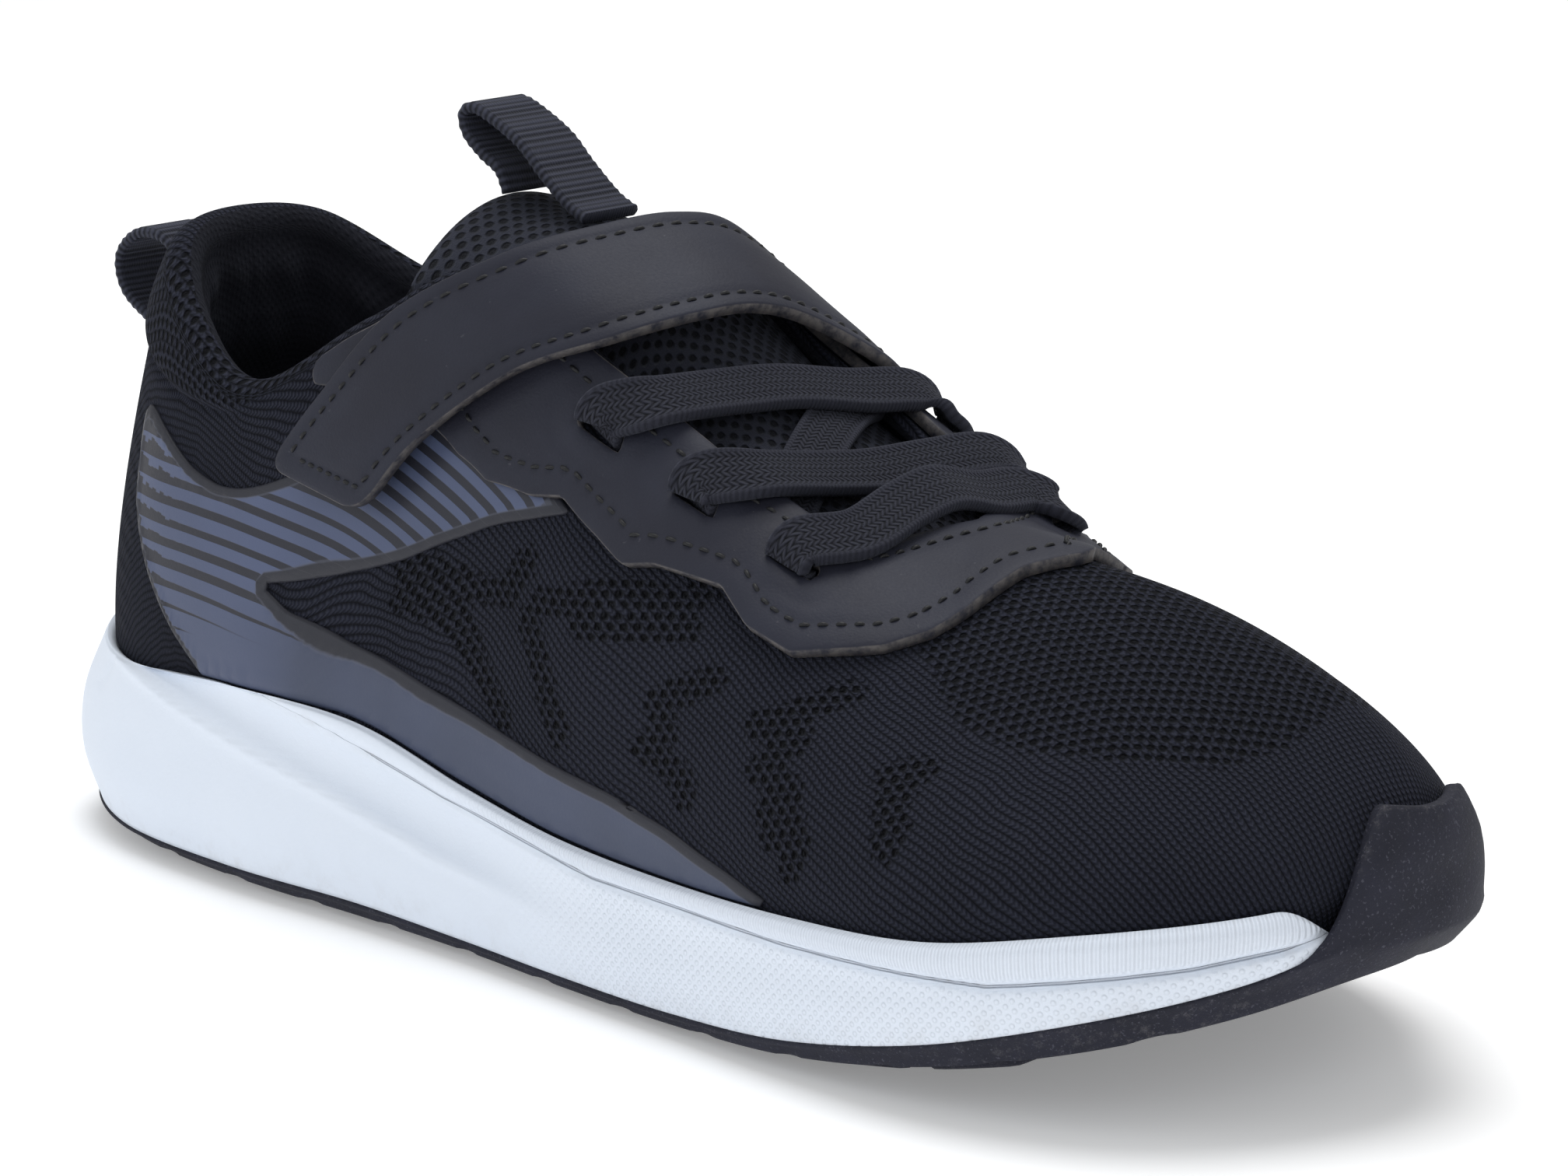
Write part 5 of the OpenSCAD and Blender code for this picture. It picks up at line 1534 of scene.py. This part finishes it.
def webbing_section(half=5.0, thick=1.5, n=20):
    t = np.linspace(0, 1, n)
    y = -np.cos(t * np.pi) * half
    k = np.abs(y) / half
    up = thick / 2 * (1 - ramp(0.93, 1.0, k) * 0.75)
    top = np.column_stack([y, up])
    bottom = np.column_stack([y, -up])[::-1]
    return np.vstack([top, bottom])


def webbing_piece(name, node, path, body):
    path = np.array([[x, 0, z] for x, z in path], float)
    k = np.linspace(0, len(path) - 1, 140)
    mid = along(path, k)
    section = webbing_section()
    tangent = unit(np.gradient(mid, axis=0))
    width = np.tile([0, 1.0, 0], (len(k), 1))
    up = np.cross(width, tangent)
    arc = lengths(mid)
    ribs = 0.09 * np.sin(arc * 2 * np.pi / 1.3)
    side = np.sign(section[:, 1])
    P = mid[:, None] + width[:, None] * section[None, :, 0:1] \
        + up[:, None] * (section[None, :, 1] + side[None] * ribs[:, None])[..., None]
    mm = triples(arc[:, None], section[:, 0], 0.0)
    piece(name, P, loop_faces(len(k), len(section)), WEBBING, body, mm=mm, replaces=(node,),
          closed=True)


sole_piece()
outsole_piece()
insole_piece()
knit_piece()
lining_piece()
panel_piece("outer_panel", "outer_side_panel", 1)
panel_piece("inner_panel", "inner_side_panel", -1)
eyestay_pieces()
patch("strap_anchor", "strap_base",
      [(3.65, 0.88), (3.95, 0.8), (4.3, 0.76), (4.62, 0.73), (4.62, 0.96), (4.3, 0.96), (3.95, 0.96),
       (3.65, 0.95)],
      1, 0.25, STAY_D1, 3.0)
patch("strap_foot", "strap_root", [(5.75, 0.6), (6.55, 0.6), (6.55, 0.765), (5.75, 0.765)],
      -1, STAY_D1 + 0.1, STAY_D1 + GAP + LEATHER_T, 2.6)
patch("loop_tape_pad", "loop_tape",
      [(3.62, 0.635), (3.85, 0.6), (4.15, 0.565), (4.45, 0.625), (4.45, 0.71), (4.15, 0.74), (3.85, 0.73),
       (3.62, 0.68)],
      1, 0.25, STAY_D0 + TAPE_T, 0, PILE)
patch("heel_patch", "heel_tab", [(-0.35, 0.5), (0.35, 0.5), (0.35, 0.88), (-0.35, 0.88)],
      1, -0.3, GAP + 0.6, 0, WEBBING)
strap_pieces()
bands()
tongue_piece()
webbing_piece("tongue_loop", "tongue_pull_loop",
              [(-22, 93.2), (-25.5, 94.8), (-30.3, 98.4), (-34, 101.6), (-38.5, 104), (-43, 105.6),
               (-45.3, 104.6), (-44.6, 102), (-41.6, 99.6), (-38.5, 97.8), (-37, 95)], "tongue_top")
webbing_piece("heel_loop", "heel_pull_loop",
              [(-103.6, 77.5), (-108.5, 80.3), (-113.8, 79.6), (-117.2, 76), (-116, 71.5),
               (-110.5, 68), (-104.8, 65.5)], "shoe")

for name, look in (("lasting_board", BOARD), ("heel_counter", STIFFENER), ("toe_puff", STIFFENER)):
    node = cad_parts[name]
    for slot in node.material_slots:
        slot.material = look


# ---- Studio ----
def studio():
    scene = bpy.context.scene
    scene.view_settings.view_transform = "Standard"
    world = bpy.data.worlds.new("studio")
    scene.world = world
    world.use_nodes = True
    world.node_tree.nodes["Background"].inputs[0].default_value = (1, 1, 1, 1)
    world.node_tree.nodes["Background"].inputs[1].default_value = 0.5
    mesh = bpy.data.meshes.new("floor")
    half = 6
    corners = [(x * half, y * half, 0) for x, y in ((-1, -1), (1, -1), (1, 1), (-1, 1))]
    mesh.from_pydata(corners, [], [(0, 1, 2, 3)])
    floor = bpy.data.objects.new("floor", mesh)
    scene.collection.objects.link(floor)
    k = Look("floor")
    k.finish((0.93, 0.93, 0.93), 0.9, specular=0.1)
    k.bsdf.inputs["Emission Color"].default_value = (1, 1, 1, 1)
    k.bsdf.inputs["Emission Strength"].default_value = 0.22
    mesh.materials.append(k.mat)

    def area_light(name, at, aim, size, power, color=(1, 1, 1)):
        data = bpy.data.lights.new(name, "AREA")
        data.shape = "DISK"
        data.size = size
        data.energy = power
        data.color = color
        obj = bpy.data.objects.new(name, data)
        scene.collection.objects.link(obj)
        obj.location = at
        obj.rotation_euler = (Vector(aim) - Vector(at)).to_track_quat("-Z", "Y").to_euler()

    area_light("key", (-0.1, 0.25, 1.2), (0, 0, 0.03), 0.9, 9.0)
    area_light("front", (1.0, -0.9, 0.75), (0, 0, 0.05), 0.9, 2.6, (0.9, 0.95, 1.0))
    area_light("side", (-0.7, -1.0, 0.6), (0, 0, 0.05), 0.8, 2.6, (0.88, 0.94, 1.0))

    data = bpy.data.cameras.new("camera")
    cam = bpy.data.objects.new("camera", data)
    scene.collection.objects.link(cam)
    # The photo's view: the angle from the outer side towards the toe, and the height angle
    az, el, distance = math.radians(44), math.radians(13.5), 0.8
    back = Vector((math.sin(az) * math.cos(el), -math.cos(az) * math.cos(el), math.sin(el)))
    target = Vector((0.0040, 0.0059, 0.0461))
    cam.location = target + back * distance
    cam.rotation_euler = (-back).to_track_quat("-Z", "Y").to_euler()
    data.sensor_width = 36
    data.lens = 140.2
    data.clip_start = 0.01
    scene.camera = cam


studio()
